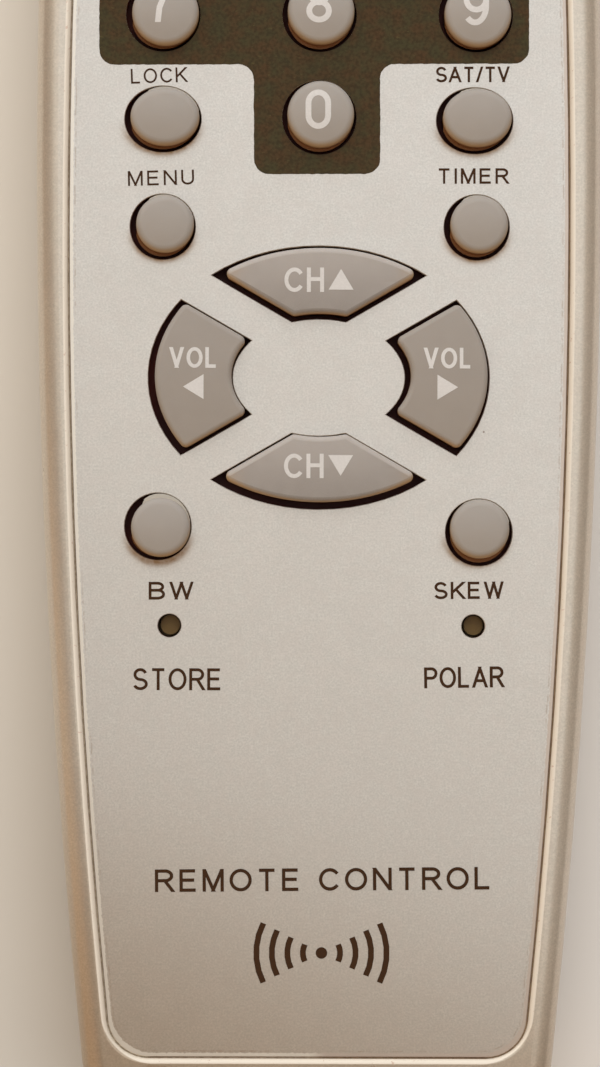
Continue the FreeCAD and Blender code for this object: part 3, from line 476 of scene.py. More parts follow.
@dataclass(frozen=True)
class SilverPaint(Finish):
    """Sprayed silver paint: fine flakes in a slightly rippled film."""
    metallic: float = 0.65
    roughness: float = 0.3
    flake: float = 0.19
    flake_contrast: float = 0.1
    mottle: float = 0.5
    mottle_contrast: float = 0.05
    reddened: Triple = (1.02, 0.95, 0.94)
    cloud: float = 16.0
    cloud_shade: float = 0.86
    # painted shade: multiplied into the paint towards the tail, darker and warmer, slanting across the
    # handset
    handled: Colour = (0.74, 0.64, 0.54, 1.0)
    handled_y: Span = (-52.0, -94.0)
    handled_slant: float = 0.35
    ripple: float = 0.7
    ripple_depth: float = 0.004

    def film(self, graph: Surface) -> bpy.types.NodeSocket:
        """The paint's colour, with its flakes, its mottle, a faint cloudiness and painted shade that darkens
        and warms it towards the tail.

        Args:
            graph: The material that wears it.

        Returns:
            The colour's socket.
        """
        low = shaded(self.colour, 1.0 - self.flake_contrast)
        high = shaded(self.colour, 1.0 + self.flake_contrast)
        flakes = graph.mix(graph.noise(self.flake, detail=3.0).rise(0.3, 0.7), low, high)
        patches = graph.noise(self.mottle, detail=4.0).rise(0.36, 0.66)
        flakes = graph.mix(patches * 0.35, flakes, shaded(self.colour, 1.0 - 2 * self.mottle_contrast))
        streaks = graph.noise(self.mottle * 0.5, detail=2.0, stretch=(4, 1, 1)).rise(0.58, 0.72)
        flakes = graph.mix(streaks * 0.5, flakes, shaded(self.colour, 1.0 + 1.5 * self.mottle_contrast))
        red_patches = graph.noise(self.mottle * 2.4, detail=3.0).rise(0.38, 0.62)
        flakes = graph.mix(red_patches * 0.2, flakes, tinted(self.colour, self.reddened))
        cloud = graph.noise(self.cloud, detail=2.0).rise(0.35, 0.7)
        flakes = graph.mix(cloud * 0.08, flakes, shaded(self.colour, self.cloud_shade))
        # painted shade towards the tail
        tail = (graph.y + graph.x * self.handled_slant).rise(*self.handled_y)
        return graph.mix(tail, flakes, self.handled, "MULTIPLY")

    def relief(self, graph: Surface) -> bpy.types.NodeSocket:
        """The film's ripple with the flakes' grain on it."""
        coarse = graph.bump(graph.noise(self.ripple, detail=2.0), self.ripple_depth)
        return graph.bump(graph.noise(self.flake, detail=1.0), self.ripple_depth * 0.18, coarse)

    def gloss(self, graph: Surface) -> Signal:
        """The film's roughness, a little uneven."""
        return graph.noise(2.5, detail=3.0) * 0.1 + (self.roughness - 0.05)


@dataclass(frozen=True)
class ShellPaint(SilverPaint):
    """Silver paint on the outside of a moulding that is bare and dark inside."""
    bare: Colour = srgb(66, 62, 59)
    # painted shade: dark red-brown in the pocket under the plate, seen down the gaps round the plate and the
    # keys
    pocket: Colour = srgb(98, 34, 6)
    # painted highlight: the lip round the pocket is pale and less metallic
    lip_light: Colour = srgb(240, 232, 220)
    primer: Colour = srgb(190, 150, 130)
    grime: Colour = srgb(80, 62, 48)
    grime_z: Span = (10.75, 11.25)    # along the parting line
    wall: float = 1.0                 # how far in from the case's outline the bare inside starts
    deck_z: float = 18.4              # the underside of the deck under the plate
    floor_z: float = 1.1              # below this the paint of the belly starts
    lip: float = 0.45                 # how wide the painted highlight round the pocket is

    def lay(self, graph: Surface) -> None:
        """Paint outside, a painted highlight along the lip, bare plastic within the walls,
        and painted dark red-brown shade in the pocket.
        """
        pocket_depth = POCKET_PLAN.depth(graph)
        above_deck = graph.z.rise(self.deck_z, self.deck_z + 0.05)
        in_pocket = above_deck * (pocket_depth.rise(-0.06, 0.0)
                                  * graph.z.rise(RIM_TOP - self.lip, RIM_TOP - self.lip - 0.1))
        below_deck = (1 - above_deck) * graph.z.rise(self.floor_z - 0.1, self.floor_z)
        inside = CASE_PLAN.depth(graph).rise(self.wall - 0.1, self.wall + 0.1) * below_deck
        hidden = in_pocket.most(inside)
        # painted highlight along the lip
        lip = pocket_depth.band(-self.lip, 0.2, 0.06) * (1 - in_pocket) * 0.8
        worn = pocket_depth.band(-self.lip, 0.1, 0.08) * graph.noise(0.5, detail=3.0).rise(0.66, 0.72)
        dirty = graph.z.band(*self.grime_z, 0.12) * graph.noise(3.0).rise(0.3, 0.6)
        painted = graph.mix(lip, self.film(graph), self.lip_light)
        painted = graph.mix(worn * 0.5, painted, self.primer)
        painted = graph.mix(dirty * 0.55, painted, self.grime)
        # painted shade in the pocket
        graph.close(
            Base_Color=graph.mix(in_pocket, graph.mix(inside, painted, self.bare), self.pocket),
            Metallic=self.metallic * (1 - hidden.most(worn).most(lip)),
            Roughness=self.gloss(graph) + hidden * 0.2,
            Normal=self.relief(graph),
        )


@dataclass(frozen=True)
class PlatePaint(SilverPaint):
    """The front plate's paint: sparkling, with a pale strip along its rim and a few specks.

    The strip has painted light on the left and painted shade on the right, and painted shadow lies below its
    holes.
    """
    # dark red-brown hole walls: the panel's bare edge, darkened and reddened as painted shade in the gaps
    # round the keys
    bare: Colour = srgb(108, 40, 8)
    # painted light and shade: the strip along the rim is lit on the left and shaded on the right
    lit_edge: Colour = srgb(232, 224, 212)
    dull_edge: Colour = srgb(196, 180, 168)
    edge_width: float = 0.38
    primer: Colour = srgb(150, 122, 100)
    chip_depth: Span = (0.5, 0.62)               # how far in from the outline the chipped line runs
    wall_z: Span = (PLATE_TOP - 0.13, PLATE_TOP - 0.17)
    dirt: Colour = srgb(96, 74, 60)
    speck: float = 0.13
    speck_pitch: float = 9.0
    # painted shadow of each key on the plate, below its hole
    grime: Colour = srgb(136, 106, 76)
    flange_reach: float = 0.55                   # how far a key's flange stands out under the plate
    halo_width: float = 1.0
    rim_width: float = 0.6
    rim_share: float = 0.7                       # how much of the painted shadow lies within rim_width of a hole
    hole_shift: Point = (-0.25, -0.17)           # from a key's middle to its hole's, as the keys lean

    def halo(self, graph: Surface) -> Signal:
        """Painted shadow of each key on the plate, next to the tail side of its hole.

        Args:
            graph: The material that wears it.

        Returns:
            The mask: strong at the hole's edge, faint further out.
        """
        whole = None
        for node in NAMED_KEYS:
            low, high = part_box(node)
            middle, half = (low + high) / (2 * MM), (high - low) / (2 * MM)
            wide, tall = half.x - self.flange_reach, half.y - self.flange_reach
            across = (graph.x - (middle.x + self.hole_shift[0])) / wide
            down = (middle.y + self.hole_shift[1] - graph.y) / tall
            outside = (across.reach(down) - 1.0) * tall
            close = outside.rise(self.rim_width, 0.0) * self.rim_share
            stain = (close + outside.rise(self.halo_width, 0.0) * (1 - self.rim_share)) * down.rise(-0.1, 0.8)
            whole = stain if whole is None else whole.most(stain)
        return whole * (graph.noise(0.6, detail=3.0) * 0.8 + 0.5)

    def lay(self, graph: Surface) -> None:
        """Paint on the face, a pale and chipped strip along the rim, and dark walls in the holes.

        The strip has painted light on its left and painted shade on its right, painted shadow lies below the
        holes, the walls' dark red-brown is painted shade, and the walls at each hole's head and right side
        have painted light.
        """
        depth = PLATE_PLAN.depth(graph)
        walls = graph.z.rise(*self.wall_z)
        # painted light: walls that face the tail and the left, at the head and right side of each hole, take
        # the pale lit_edge colour
        lit_walls = (graph.facing_x + graph.facing_y).rise(-0.3, -0.9) * 0.8
        ragged = depth + (graph.noise(0.45, detail=3.0) - 0.5) * 0.3
        strip = ragged.rise(self.edge_width + 0.04, self.edge_width - 0.04)
        line = (depth + (graph.noise(1.6, detail=3.0) - 0.5) * 0.25).band(*self.chip_depth, 0.05)
        chipped = line * graph.noise(0.9, detail=4.0).rise(0.42, 0.56) * graph.noise(7.0).rise(0.4, 0.6)
        near, lot = graph.cells(self.speck_pitch)
        specks = near.rise(self.speck, self.speck * 0.5) * lot.rise(0.55, 0.56)
        # painted light on the left of the rim strip, painted shade on its right
        edge = graph.mix(graph.x.rise(-1.0, 1.0), self.lit_edge, self.dull_edge)
        painted = graph.mix(strip * 0.8, self.film(graph), edge)
        painted = graph.mix(chipped * 0.42, painted, self.primer)
        # painted shadow below each key's hole
        painted = graph.mix(self.halo(graph), painted, self.grime)
        painted = graph.mix(specks * 0.75, painted, self.dirt)
        graph.close(
            Base_Color=graph.mix(walls, painted, graph.mix(lit_walls, self.bare, self.lit_edge)),
            Metallic=self.metallic * (1 - walls.most(specks)),
            Roughness=self.gloss(graph) + walls * 0.2,
            Normal=self.relief(graph),
        )


@dataclass(frozen=True)
class Silicone(Finish):
    """Matte translucent silicone rubber with painted shade: tan, then brown, then dark red-brown below the
    plate's face, reaching highest on the sides that face the tail.

    Each of its painted shades gives way to the next lighter one over a span of levels.
    """
    # painted shade down the sides: tan, then brown, then dark red-brown below the plate's face
    tan: Colour = srgb(173, 146, 114)
    tan_z: Span = (PLATE_TOP + 0.35, PLATE_TOP + 1.15)
    foot: Colour = srgb(132, 86, 50)
    foot_z: Span = (PLATE_TOP - 0.6, PLATE_TOP + 0.4)
    deep: Colour = srgb(74, 14, 2)
    deep_z: Span = (PLATE_TOP - 1.9, PLATE_TOP - 0.8)
    lean: float = 0.6                       # how much higher the painted shade reaches on the sides that face the tail
    crown: Span = (1.0, 1.06)               # painted shade and highlight: how bright the dome is painted towards the tail and the head
    crown_slope: float = 0.2
    tail_tint: Triple = (1.0, 1.0, 0.98)
    head_tint: Triple = (1.0, 1.03, 1.05)
    roughness: float = 0.5

    def lay(self, graph: Surface) -> None:
        """Rubber with a fine tooth, cloudy inside, with painted highlight and shade on its dome and painted
        shade down its sides.
        """
        cloud = graph.noise(2.2, detail=3.0).rise(0.25, 0.75)
        tooth = graph.noise(0.09, detail=2.0)
        # painted highlight on the dome's head side and painted shade on its tail side, by which way the
        # surface faces
        dull, bright = self.crown
        head = graph.facing_y.rise(-self.crown_slope, self.crown_slope)
        shade = graph.mix(head, shaded(tinted(self.colour, self.tail_tint), dull),
                          shaded(tinted(self.colour, self.head_tint), bright))
        body = graph.mix(cloud * 0.08, shade, shaded(self.colour, 1.5))
        body = graph.mix(tooth.rise(0.35, 0.7) * 0.3, body, shaded(self.colour, 1.08))
        # painted shade: tan, brown, then dark red-brown lower down, reaching higher on the sides that face
        # the tail
        level = graph.z + graph.facing_y * self.lean + (graph.noise(1.2) - 0.5) * 0.2
        foot = graph.mix(level.rise(*self.deep_z), self.deep, self.foot)
        side = graph.mix(level.rise(*self.foot_z), foot, self.tan)
        graph.close(
            Base_Color=graph.mix(level.rise(*self.tan_z), side, body),
            Roughness=graph.noise(0.8) * 0.12 + (self.roughness - 0.06),
            Subsurface_Weight=0.12,
            Subsurface_Radius=(0.9, 0.6, 0.4),
            Subsurface_Scale=0.6 * MM,
            Specular_IOR_Level=0.26,
            Normal=graph.bump(tooth, 0.003),
        )


@dataclass(frozen=True)
class Ink(Finish):
    """Printed ink: a thin even film with the pinholes of its screen."""
    grain: float = 0.09
    contrast: float = 0.18
    roughness: float = 0.45

    def lay(self, graph: Surface) -> None:
        """Ink with a fine grain and a faint fading."""
        grain = graph.noise(self.grain, detail=3.0).rise(0.3, 0.75)
        cloud = graph.noise(5.0, detail=2.0).rise(0.3, 0.7)
        low, high = shaded(self.colour, 1.0 - self.contrast), shaded(self.colour, 1.0 + self.contrast)
        graph.close(
            Base_Color=graph.mix(cloud * 0.12, graph.mix(grain, low, high), shaded(self.colour, 1.35)),
            Roughness=grain * 0.1 + (self.roughness - 0.05),
            Specular_IOR_Level=0.3,
            Normal=graph.bump(grain, 0.002),
        )


@dataclass(frozen=True)
class FieldInk(Ink):
    """The field's ink, mottled by the silver paint under it in greenish and reddish patches."""
    green: Colour = srgb(62, 57, 32)
    red: Colour = srgb(74, 54, 32)

    def lay(self, graph: Surface) -> None:
        """Ink in patches, with a coarse grain and a few light flecks."""
        patches = graph.noise(1.5, detail=4.0).rise(0.3, 0.7)
        body = graph.mix(patches, self.green, self.red)
        body = graph.mix(graph.noise(0.32, detail=3.0).rise(0.35, 0.7) * 0.6, body, shaded(self.colour, 0.6))
        flecks = graph.noise(0.28, detail=2.0, stretch=(2, 1, 1)).rise(0.64, 0.74)
        graph.close(
            Base_Color=graph.mix(flecks * 0.35, body, shaded(self.green, 2.2)),
            Roughness=patches * 0.1 + (self.roughness - 0.05),
            Specular_IOR_Level=0.25,
            Normal=graph.bump(patches, 0.004),
        )


@dataclass(frozen=True)
class JointDust(Finish):
    """Paint and dust that have settled in the joint round the front plate."""
    # painted shade: the joint's darker colour on its right side
    dull: Colour = srgb(140, 118, 92)

    def lay(self, graph: Surface) -> None:
        """Dust in uneven lumps, with painted light on the left and painted shade on the right."""
        lumps = graph.noise(0.5, detail=4.0).rise(0.35, 0.65)
        # painted light on the left, painted shade on the right
        side = graph.x.rise(-2.0, 2.0)
        body = graph.mix(side, self.colour, self.dull)
        graph.close(
            Base_Color=graph.mix(lumps * 0.5, body, shaded(self.dull, 0.5)),
            Roughness=lumps * 0.2 + 0.7,
            Normal=graph.bump(lumps, 0.02),
        )


@dataclass(frozen=True)
class Moulding(Finish):
    """Moulded or dipped plastic with a spark-eroded grain."""
    roughness: float = 0.5
    grain: float = 0.22
    depth: float = 0.006
    coat: float = 0.0
    legs_from: float = BOARD_UNDERSIDE + 1.0

    def lay(self, graph: Surface) -> None:
        """Plastic with a fine grain, cloudy, and bright metal above the level where its legs start."""
        grain = graph.noise(self.grain, detail=3.0)
        cloud = graph.noise(6.0, detail=3.0).rise(0.3, 0.75)
        legs = graph.z.rise(self.legs_from - 0.02, self.legs_from + 0.02)
        body = graph.mix(cloud, shaded(self.colour, 0.9), shaded(self.colour, 1.12))
        graph.close(
            Base_Color=graph.mix(legs, body, BRIGHT_TIN),
            Metallic=legs,
            Roughness=grain * 0.14 + (self.roughness - 0.07),
            Coat_Weight=self.coat,
            Coat_Roughness=0.12,
            Normal=graph.bump(grain, self.depth),
        )


@dataclass(frozen=True)
class Metal(Finish):
    """Plated or bare metal with drawn scratches along one axis."""
    roughness: float = 0.3
    along: Triple = (1, 14, 1)
    tarnish: Colour = srgb(120, 100, 78)

    def lay(self, graph: Surface) -> None:
        """Metal with scratches and a little tarnish."""
        scratch = graph.noise(0.12, detail=3.0, stretch=self.along)
        dull = graph.noise(2.5, detail=4.0).rise(0.52, 0.78)
        graph.close(
            Base_Color=graph.mix(dull * 0.35, self.colour, self.tarnish),
            Metallic=1.0 - dull * 0.25,
            Roughness=scratch * 0.16 + dull * 0.15 + (self.roughness - 0.08),
            Normal=graph.bump(scratch, 0.002),
        )


@dataclass(frozen=True)
class DarkAcrylic(Finish):
    """Dark red acrylic that only infrared light passes well, with hairline scratches."""

    def lay(self, graph: Surface) -> None:
        """A clear dark red body."""
        hair = graph.noise(0.3, detail=2.0, stretch=(9, 1, 1)).rise(0.6, 0.75)
        haze = graph.noise(5.0, detail=3.0).rise(0.4, 0.8)
        graph.close(
            Base_Color=graph.mix(haze * 0.4, self.colour, shaded(self.colour, 1.8)),
            Roughness=hair * 0.12 + haze * 0.05 + 0.04,
            Transmission_Weight=0.45,
            IOR=1.49,
            Coat_Weight=0.3,
            Coat_Roughness=0.04,
            Normal=graph.bump(hair, 0.001),
        )


@dataclass(frozen=True)
class ClearEpoxy(Finish):
    """The emitter's water-clear epoxy, faintly blue."""

    def lay(self, graph: Surface) -> None:
        """A clear body with a slight haze."""
        haze = graph.noise(1.5, detail=2.0).rise(0.4, 0.8)
        graph.close(
            Base_Color=graph.mix(haze * 0.3, self.colour, shaded(self.colour, 0.8)),
            Roughness=haze * 0.08 + 0.06,
            Transmission_Weight=0.8,
            IOR=1.54,
            Normal=graph.bump(haze, 0.002),
        )


@dataclass(frozen=True)
class BoardLaminate(Finish):
    """Paper laminate with printed tracks under a varnish and carbon pads on its key side."""
    track: Colour = srgb(150, 108, 48)
    solder: Colour = srgb(178, 178, 172)
    hole: Colour = srgb(20, 16, 12)
    pitch: float = 1.9
    lane: Span = (0.35, 0.95)
    cross: Span = (0.4, 1.0)
    wander: float = 6.0
    dot_pitch: float = 3.2
    dot: Span = (0.62, 0.52)
    drill: Span = (0.26, 0.2)

    def lay(self, graph: Surface) -> None:
        """Tracks that wander between rows of solder dots."""
        drift = graph.noise(7.0, detail=1.0) * self.wander
        lanes = ((graph.x + drift) % self.pitch).band(*self.lane, 0.05)
        cross = ((graph.y + drift) % (self.pitch * 4)).band(*self.cross, 0.05)
        near, lot = graph.cells(self.dot_pitch, 0.35)
        used = lot.rise(0.4, 0.41)
        solder, hole = near.rise(*self.dot) * used, near.rise(*self.drill) * used
        fibre = graph.noise(0.35, detail=4.0, stretch=(1, 5, 1)).rise(0.3, 0.7)
        base = graph.mix(fibre * 0.5, self.colour, shaded(self.colour, 0.8))
        base = graph.mix(lanes.most(cross) * 0.8, base, self.track)
        base = graph.mix(solder, base, self.solder)
        graph.close(
            Base_Color=graph.mix(hole, base, self.hole),
            Metallic=solder * (1 - hole) * 0.9,
            Roughness=0.42 - solder * 0.14 + fibre * 0.1,
            Coat_Weight=0.25,
            Coat_Roughness=0.2,
            Normal=graph.bump(lanes.most(solder), 0.03),
        )


@dataclass(frozen=True)
class CellWrap(Finish):
    """A dry cell's printed foil: dark, with a copper end and a pale line between them, and no lettering."""
    cell_x: float = 0.0
    base_y: float = 0.0
    way: float = 1.0
    end: Colour = srgb(176, 104, 52)
    line: Colour = srgb(214, 206, 188)
    rubbed: Colour = srgb(170, 170, 166)
    end_length: float = 13.0
    line_width: float = 1.1
    stripe_pitch: float = 1.5
    stripe_width: float = 0.35
    stripes_from: float = 20.0

    def lay(self, graph: Surface) -> None:
        """Foil with its colours laid along the cell, rubbed at the shoulder."""
        along = (graph.y - self.base_y) * self.way
        foil = graph.noise(0.25, detail=3.0, stretch=(1, 8, 1))
        stripes = ((graph.x - self.cell_x) % self.stripe_pitch).band(0.0, self.stripe_width, 0.06)
        stripes = stripes * along.rise(self.stripes_from, self.stripes_from + 0.1)
        body = graph.mix(foil.rise(0.3, 0.7), shaded(self.colour, 0.85), shaded(self.colour, 1.2))
        body = graph.mix(stripes * 0.35, body, shaded(self.colour, 2.2))
        body = graph.mix(along.rise(self.end_length + 0.05, self.end_length - 0.05), body, self.end)
        line = along.band(self.end_length, self.end_length + self.line_width, 0.04)
        body = graph.mix(line, body, self.line)
        rubbed = graph.noise(1.4, detail=4.0).rise(0.64, 0.74)
        graph.close(
            Base_Color=graph.mix(rubbed * 0.5, body, self.rubbed),
            Metallic=0.5 + rubbed * 0.3,
            Roughness=foil * 0.15 + 0.26,
            Coat_Weight=0.4,
            Coat_Roughness=0.1,
            Normal=graph.bump(foil, 0.003),
        )


@dataclass(frozen=True)
class BandedLacquer(Finish):
    """A resistor's beige lacquer with its colour bands, and tinned leads beyond its body."""
    body_y: Span = (34.6, 39.6)
    bands: tuple[tuple[float, Colour], ...] = (
        (0.55, srgb(104, 52, 26)), (1.75, srgb(24, 22, 22)),
        (2.5, srgb(206, 92, 26)), (4.3, srgb(176, 138, 52)),
    )
    band_width: float = 0.42

    def lay(self, graph: Surface) -> None:
        """Lacquer, bands in their order, and bright leads."""
        start, finish = self.body_y
        cloud = graph.noise(0.8, detail=3.0).rise(0.3, 0.7)
        colour = graph.mix(cloud, shaded(self.colour, 0.92), shaded(self.colour, 1.08))
        for offset, band in self.bands:
            mask = (graph.y - start).band(offset - self.band_width / 2, offset + self.band_width / 2, 0.03)
            colour = graph.mix(mask, colour, band)
        lead = graph.y.rise(start, start - 0.02).most(graph.y.rise(finish, finish + 0.02))
        graph.close(
            Base_Color=graph.mix(lead, colour, BRIGHT_TIN),
            Metallic=lead * 0.95,
            Roughness=cloud * 0.1 + 0.24,
            Normal=graph.bump(cloud, 0.01),
        )


@dataclass(frozen=True)
class Tabletop(Finish):
    """The pale surface that the handset lies on, with painted shade: warmer and darker on the left, darker
    still there by the tail.
    """
    warm: Colour = srgb(230, 226, 219)
    tail_y: Span = (10.0, -100.0)
    across: Span = (-40.0, 40.0)

    def lay(self, graph: Surface) -> None:
        """A pale surface with the faintest mottling, and painted shade to the left and by the tail."""
        mottle = graph.noise(60.0, detail=3.0).rise(0.3, 0.7)
        # painted shade: darker towards the tail on the left, and warmer and darker to the left
        left = graph.mix(graph.y.rise(*self.tail_y) * 0.85, self.warm, shaded(self.warm, 0.8))
        body = graph.mix(graph.x.rise(*self.across), left, self.colour)
        graph.close(
            Base_Color=graph.mix(mottle * 0.03, body, shaded(self.warm, 0.7)),
            Roughness=0.75,
            Specular_IOR_Level=0.2,
        )


BELOW_KEYS = (10.0, 11.0)    # levels under all the rubber, for rubber without the painted tan shade

CASE_PAINT = ShellPaint("case_paint", srgb(206, 197, 185))
PLATE_PAINT = PlatePaint("plate_paint", srgb(206, 202, 197))
KEY_RUBBER = Silicone("key_rubber", srgb(157, 150, 145))
# the channel keys' domes carry strong painted shade and highlight
CHANNEL_RUBBER = Silicone("channel_rubber", srgb(157, 150, 146), crown=(0.74, 1.3), crown_slope=0.09)
VOLUME_RUBBER = Silicone("volume_rubber", srgb(154, 146, 140), crown=(0.98, 1.02))
# painted light: pale rubber, lighter than the keys, in the gap where a key leans on its hole
GAP_LIGHT_RUBBER = Silicone("gap_light_rubber", srgb(184, 177, 168), tan_z=BELOW_KEYS)
# painted shade: brown rubber in the gap at each key's tail side
FOOT_SHADE_RUBBER = Silicone("foot_shade_rubber", srgb(132, 84, 44), tan_z=BELOW_KEYS)
PIN_RUBBER = Silicone("pin_rubber", srgb(106, 84, 48), tan_z=BELOW_KEYS)
MAT_RUBBER = Silicone("mat_rubber", srgb(150, 138, 128), tan_z=BELOW_KEYS)
FIELD_INK = FieldInk("field_ink", srgb(58, 46, 24), roughness=0.6)
LEGEND_INK = Ink("legend_ink", srgb(56, 30, 2), grain=0.2, roughness=0.65)
KEY_INK = Ink("key_ink", srgb(209, 207, 207), contrast=0.04, grain=0.2, roughness=0.5)
JOINT_DUST = JointDust("joint_dust", srgb(170, 156, 136))
WINDOW_ACRYLIC = DarkAcrylic("window_acrylic", srgb(52, 8, 12))
EMITTER_EPOXY = ClearEpoxy("emitter_epoxy", srgb(176, 190, 222))
LAMINATE = BoardLaminate("board_laminate", srgb(176, 132, 78))
ZINC = Metal("zinc", srgb(196, 196, 194), roughness=0.34, along=(1, 1, 6))
TIN = Metal("tin", srgb(200, 199, 192), roughness=0.3)
NICKEL = Metal("nickel", srgb(204, 200, 190), roughness=0.22, along=(1, 1, 9))
CAN_STEEL = Metal("can_steel", srgb(206, 205, 202), roughness=0.26)
CHIP_EPOXY = Moulding("chip_epoxy", srgb(38, 37, 38), roughness=0.55, grain=0.12)
TRANSISTOR_EPOXY = Moulding("transistor_epoxy", srgb(38, 37, 38), grain=0.12, legs_from=BOARD_UNDERSIDE - 1.4)
RESONATOR_DIP = Moulding("resonator_dip", srgb(206, 120, 30), roughness=0.3, depth=0.003, coat=0.5,
                         legs_from=BOARD_UNDERSIDE - 0.8)
CAPACITOR_SLEEVE = Moulding("capacitor_sleeve", srgb(40, 58, 108), roughness=0.32, depth=0.002, coat=0.4)
RESISTOR_LACQUER = BandedLacquer("resistor_lacquer", srgb(206, 186, 144))
TABLETOP = Tabletop("tabletop", srgb(236, 234, 233))


# ---------------------------------------------------------------------------------------------------------
# Shape helpers
# ---------------------------------------------------------------------------------------------------------


def finished(name: str, shape: bmesh.types.BMesh, finish: Finish, body: str) -> None:
    """Makes a piece, in metres, of a shape.

    Args:
        name: The piece's name.
        shape: Its shape in millimetres, which is used up.
        finish: What it wears.
        body: The body that it rides on.
    """
    bmesh.ops.scale(shape, vec=Vector((MM, MM, MM)), verts=shape.verts)
    mesh = bpy.data.meshes.new(name)
    shape.to_mesh(mesh)
    shape.free()
    mesh.materials.append(finish.material())
    mesh.polygons.foreach_set("use_smooth", [True] * len(mesh.polygons))
    mesh.set_sharp_from_angle(angle=SHARP_ANGLE)
    piece = bpy.data.objects.new(name, mesh)
    bpy.context.scene.collection.objects.link(piece)
    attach(piece, body)


def dress(node: str, finish: Finish) -> None:
    """Gives a node of the frame its finish.

    Args:
        node: The node's name.
        finish: What it wears.
    """
    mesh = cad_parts[node].data
    mesh.materials.clear()
    mesh.materials.append(finish.material())


def joined(shapes: Iterable[bmesh.types.BMesh]) -> bmesh.types.BMesh:
    """Several shapes as one; the parts are used up.

    Args:
        shapes: The shapes in their order.

    Returns:
        One shape that holds them all.
    """
    whole = bmesh.new()
    for shape in shapes:
        mesh = bpy.data.meshes.new("part")
        shape.to_mesh(mesh)
        shape.free()
        whole.from_mesh(mesh)
        bpy.data.meshes.remove(mesh)
    return whole


def new_verts(made: dict) -> list[bmesh.types.BMVert]:
    """The vertices among what an operator made."""
    return [part for part in made["geom"] if isinstance(part, bmesh.types.BMVert)]


def gridded(shape: bmesh.types.BMesh, pitch: float) -> None:
    """Cuts a flat shape along a square grid, so that it can follow a dome.

    Args:
        shape: The shape.
        pitch: The grid's pitch in millimetres.
    """
    for axis in (0, 1):
        places = [vert.co[axis] for vert in shape.verts]
        normal = Vector((1 - axis, axis, 0))
        low, high = min(places), max(places)
        for step in range(1, math.ceil((high - low) / pitch)):
            geom = [*shape.verts, *shape.edges, *shape.faces]
            bmesh.ops.bisect_plane(shape, geom=geom, plane_co=normal * (low + step * pitch), plane_no=normal)


def laid(flat: bmesh.types.BMesh, surface: Height, film: float) -> bmesh.types.BMesh:
    """Turns a flat outline into a thin closed film on a surface.

    Args:
        flat: Faces at level 0.
        surface: The surface's level at a place.
        film: How far the film's top stands proud. Its underside sinks in by half as much.

    Returns:
        The same shape, thick.
    """
    made = bmesh.ops.extrude_face_region(flat, geom=list(flat.faces))
    tops = set(new_verts(made))
    for vert in flat.verts:
        vert.co.z = surface(vert.co.x, vert.co.y) + (film if vert in tops else -film / 2)
    bmesh.ops.recalc_face_normals(flat, faces=flat.faces)
    return flat


def flat_height(place: float) -> Height:
    """A level surface, as a function from a place to its level."""
    return lambda x, y: place


class Skin:
    """The top of one node of the frame, as something to print on."""

    def __init__(self, node: str) -> None:
        """Reads the node's surface."""
        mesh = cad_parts[node].data
        low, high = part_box(node)
        self.middle = ((low + high) / (2 * MM)).to_2d()
        self.top = high.z / MM
        faces = [list(polygon.vertices) for polygon in mesh.polygons]
        self.tree = BVHTree.FromPolygons([vert.co for vert in mesh.vertices], faces)

    def level(self, x: float, y: float) -> float:
        """The surface's level at a place, in millimetres."""
        above = Vector((x * MM, y * MM, (self.top + 1) * MM))
        return self.tree.ray_cast(above, Vector((0, 0, -1)))[0].z / MM

    def side(self, start: Vector, way: Vector) -> float:
        """How far the surface is from a point in one direction, in millimetres."""
        return self.tree.ray_cast(start * MM, way)[3] / MM


# ---------------------------------------------------------------------------------------------------------
# Lettering
# ---------------------------------------------------------------------------------------------------------

PAST_LINE = 0.3      # how far a stroke that is cut at the base or top line runs past it, in heights


def upright(x: float) -> list[Point]:
    """A vertical stroke from line to line."""
    return [(x, -PAST_LINE), (x, 1 + PAST_LINE)]


def ray(start: Point, finish: Point) -> list[Point]:
    """A slanting stroke from a point through one on the base or top line, and on past it."""
    share = 1 + PAST_LINE / abs(finish[1] - start[1])
    return [start, (start[0] + (finish[0] - start[0]) * share, start[1] + (finish[1] - start[1]) * share)]


def slope(start: Point, finish: Point) -> list[Point]:
    """A slanting stroke from line to line, run on past both."""
    return [ray(finish, start)[1], ray(start, finish)[1]]


def level(y: float, left: float, right: float) -> list[Point]:
    """A horizontal stroke."""
    return [(left, y), (right, y)]


@dataclass(frozen=True)
class Glyph:
    """One character as strokes along their middle lines. The base line is 0 and the top line is 1."""
    width: float
    strokes: tuple[Sequence[Point], ...]


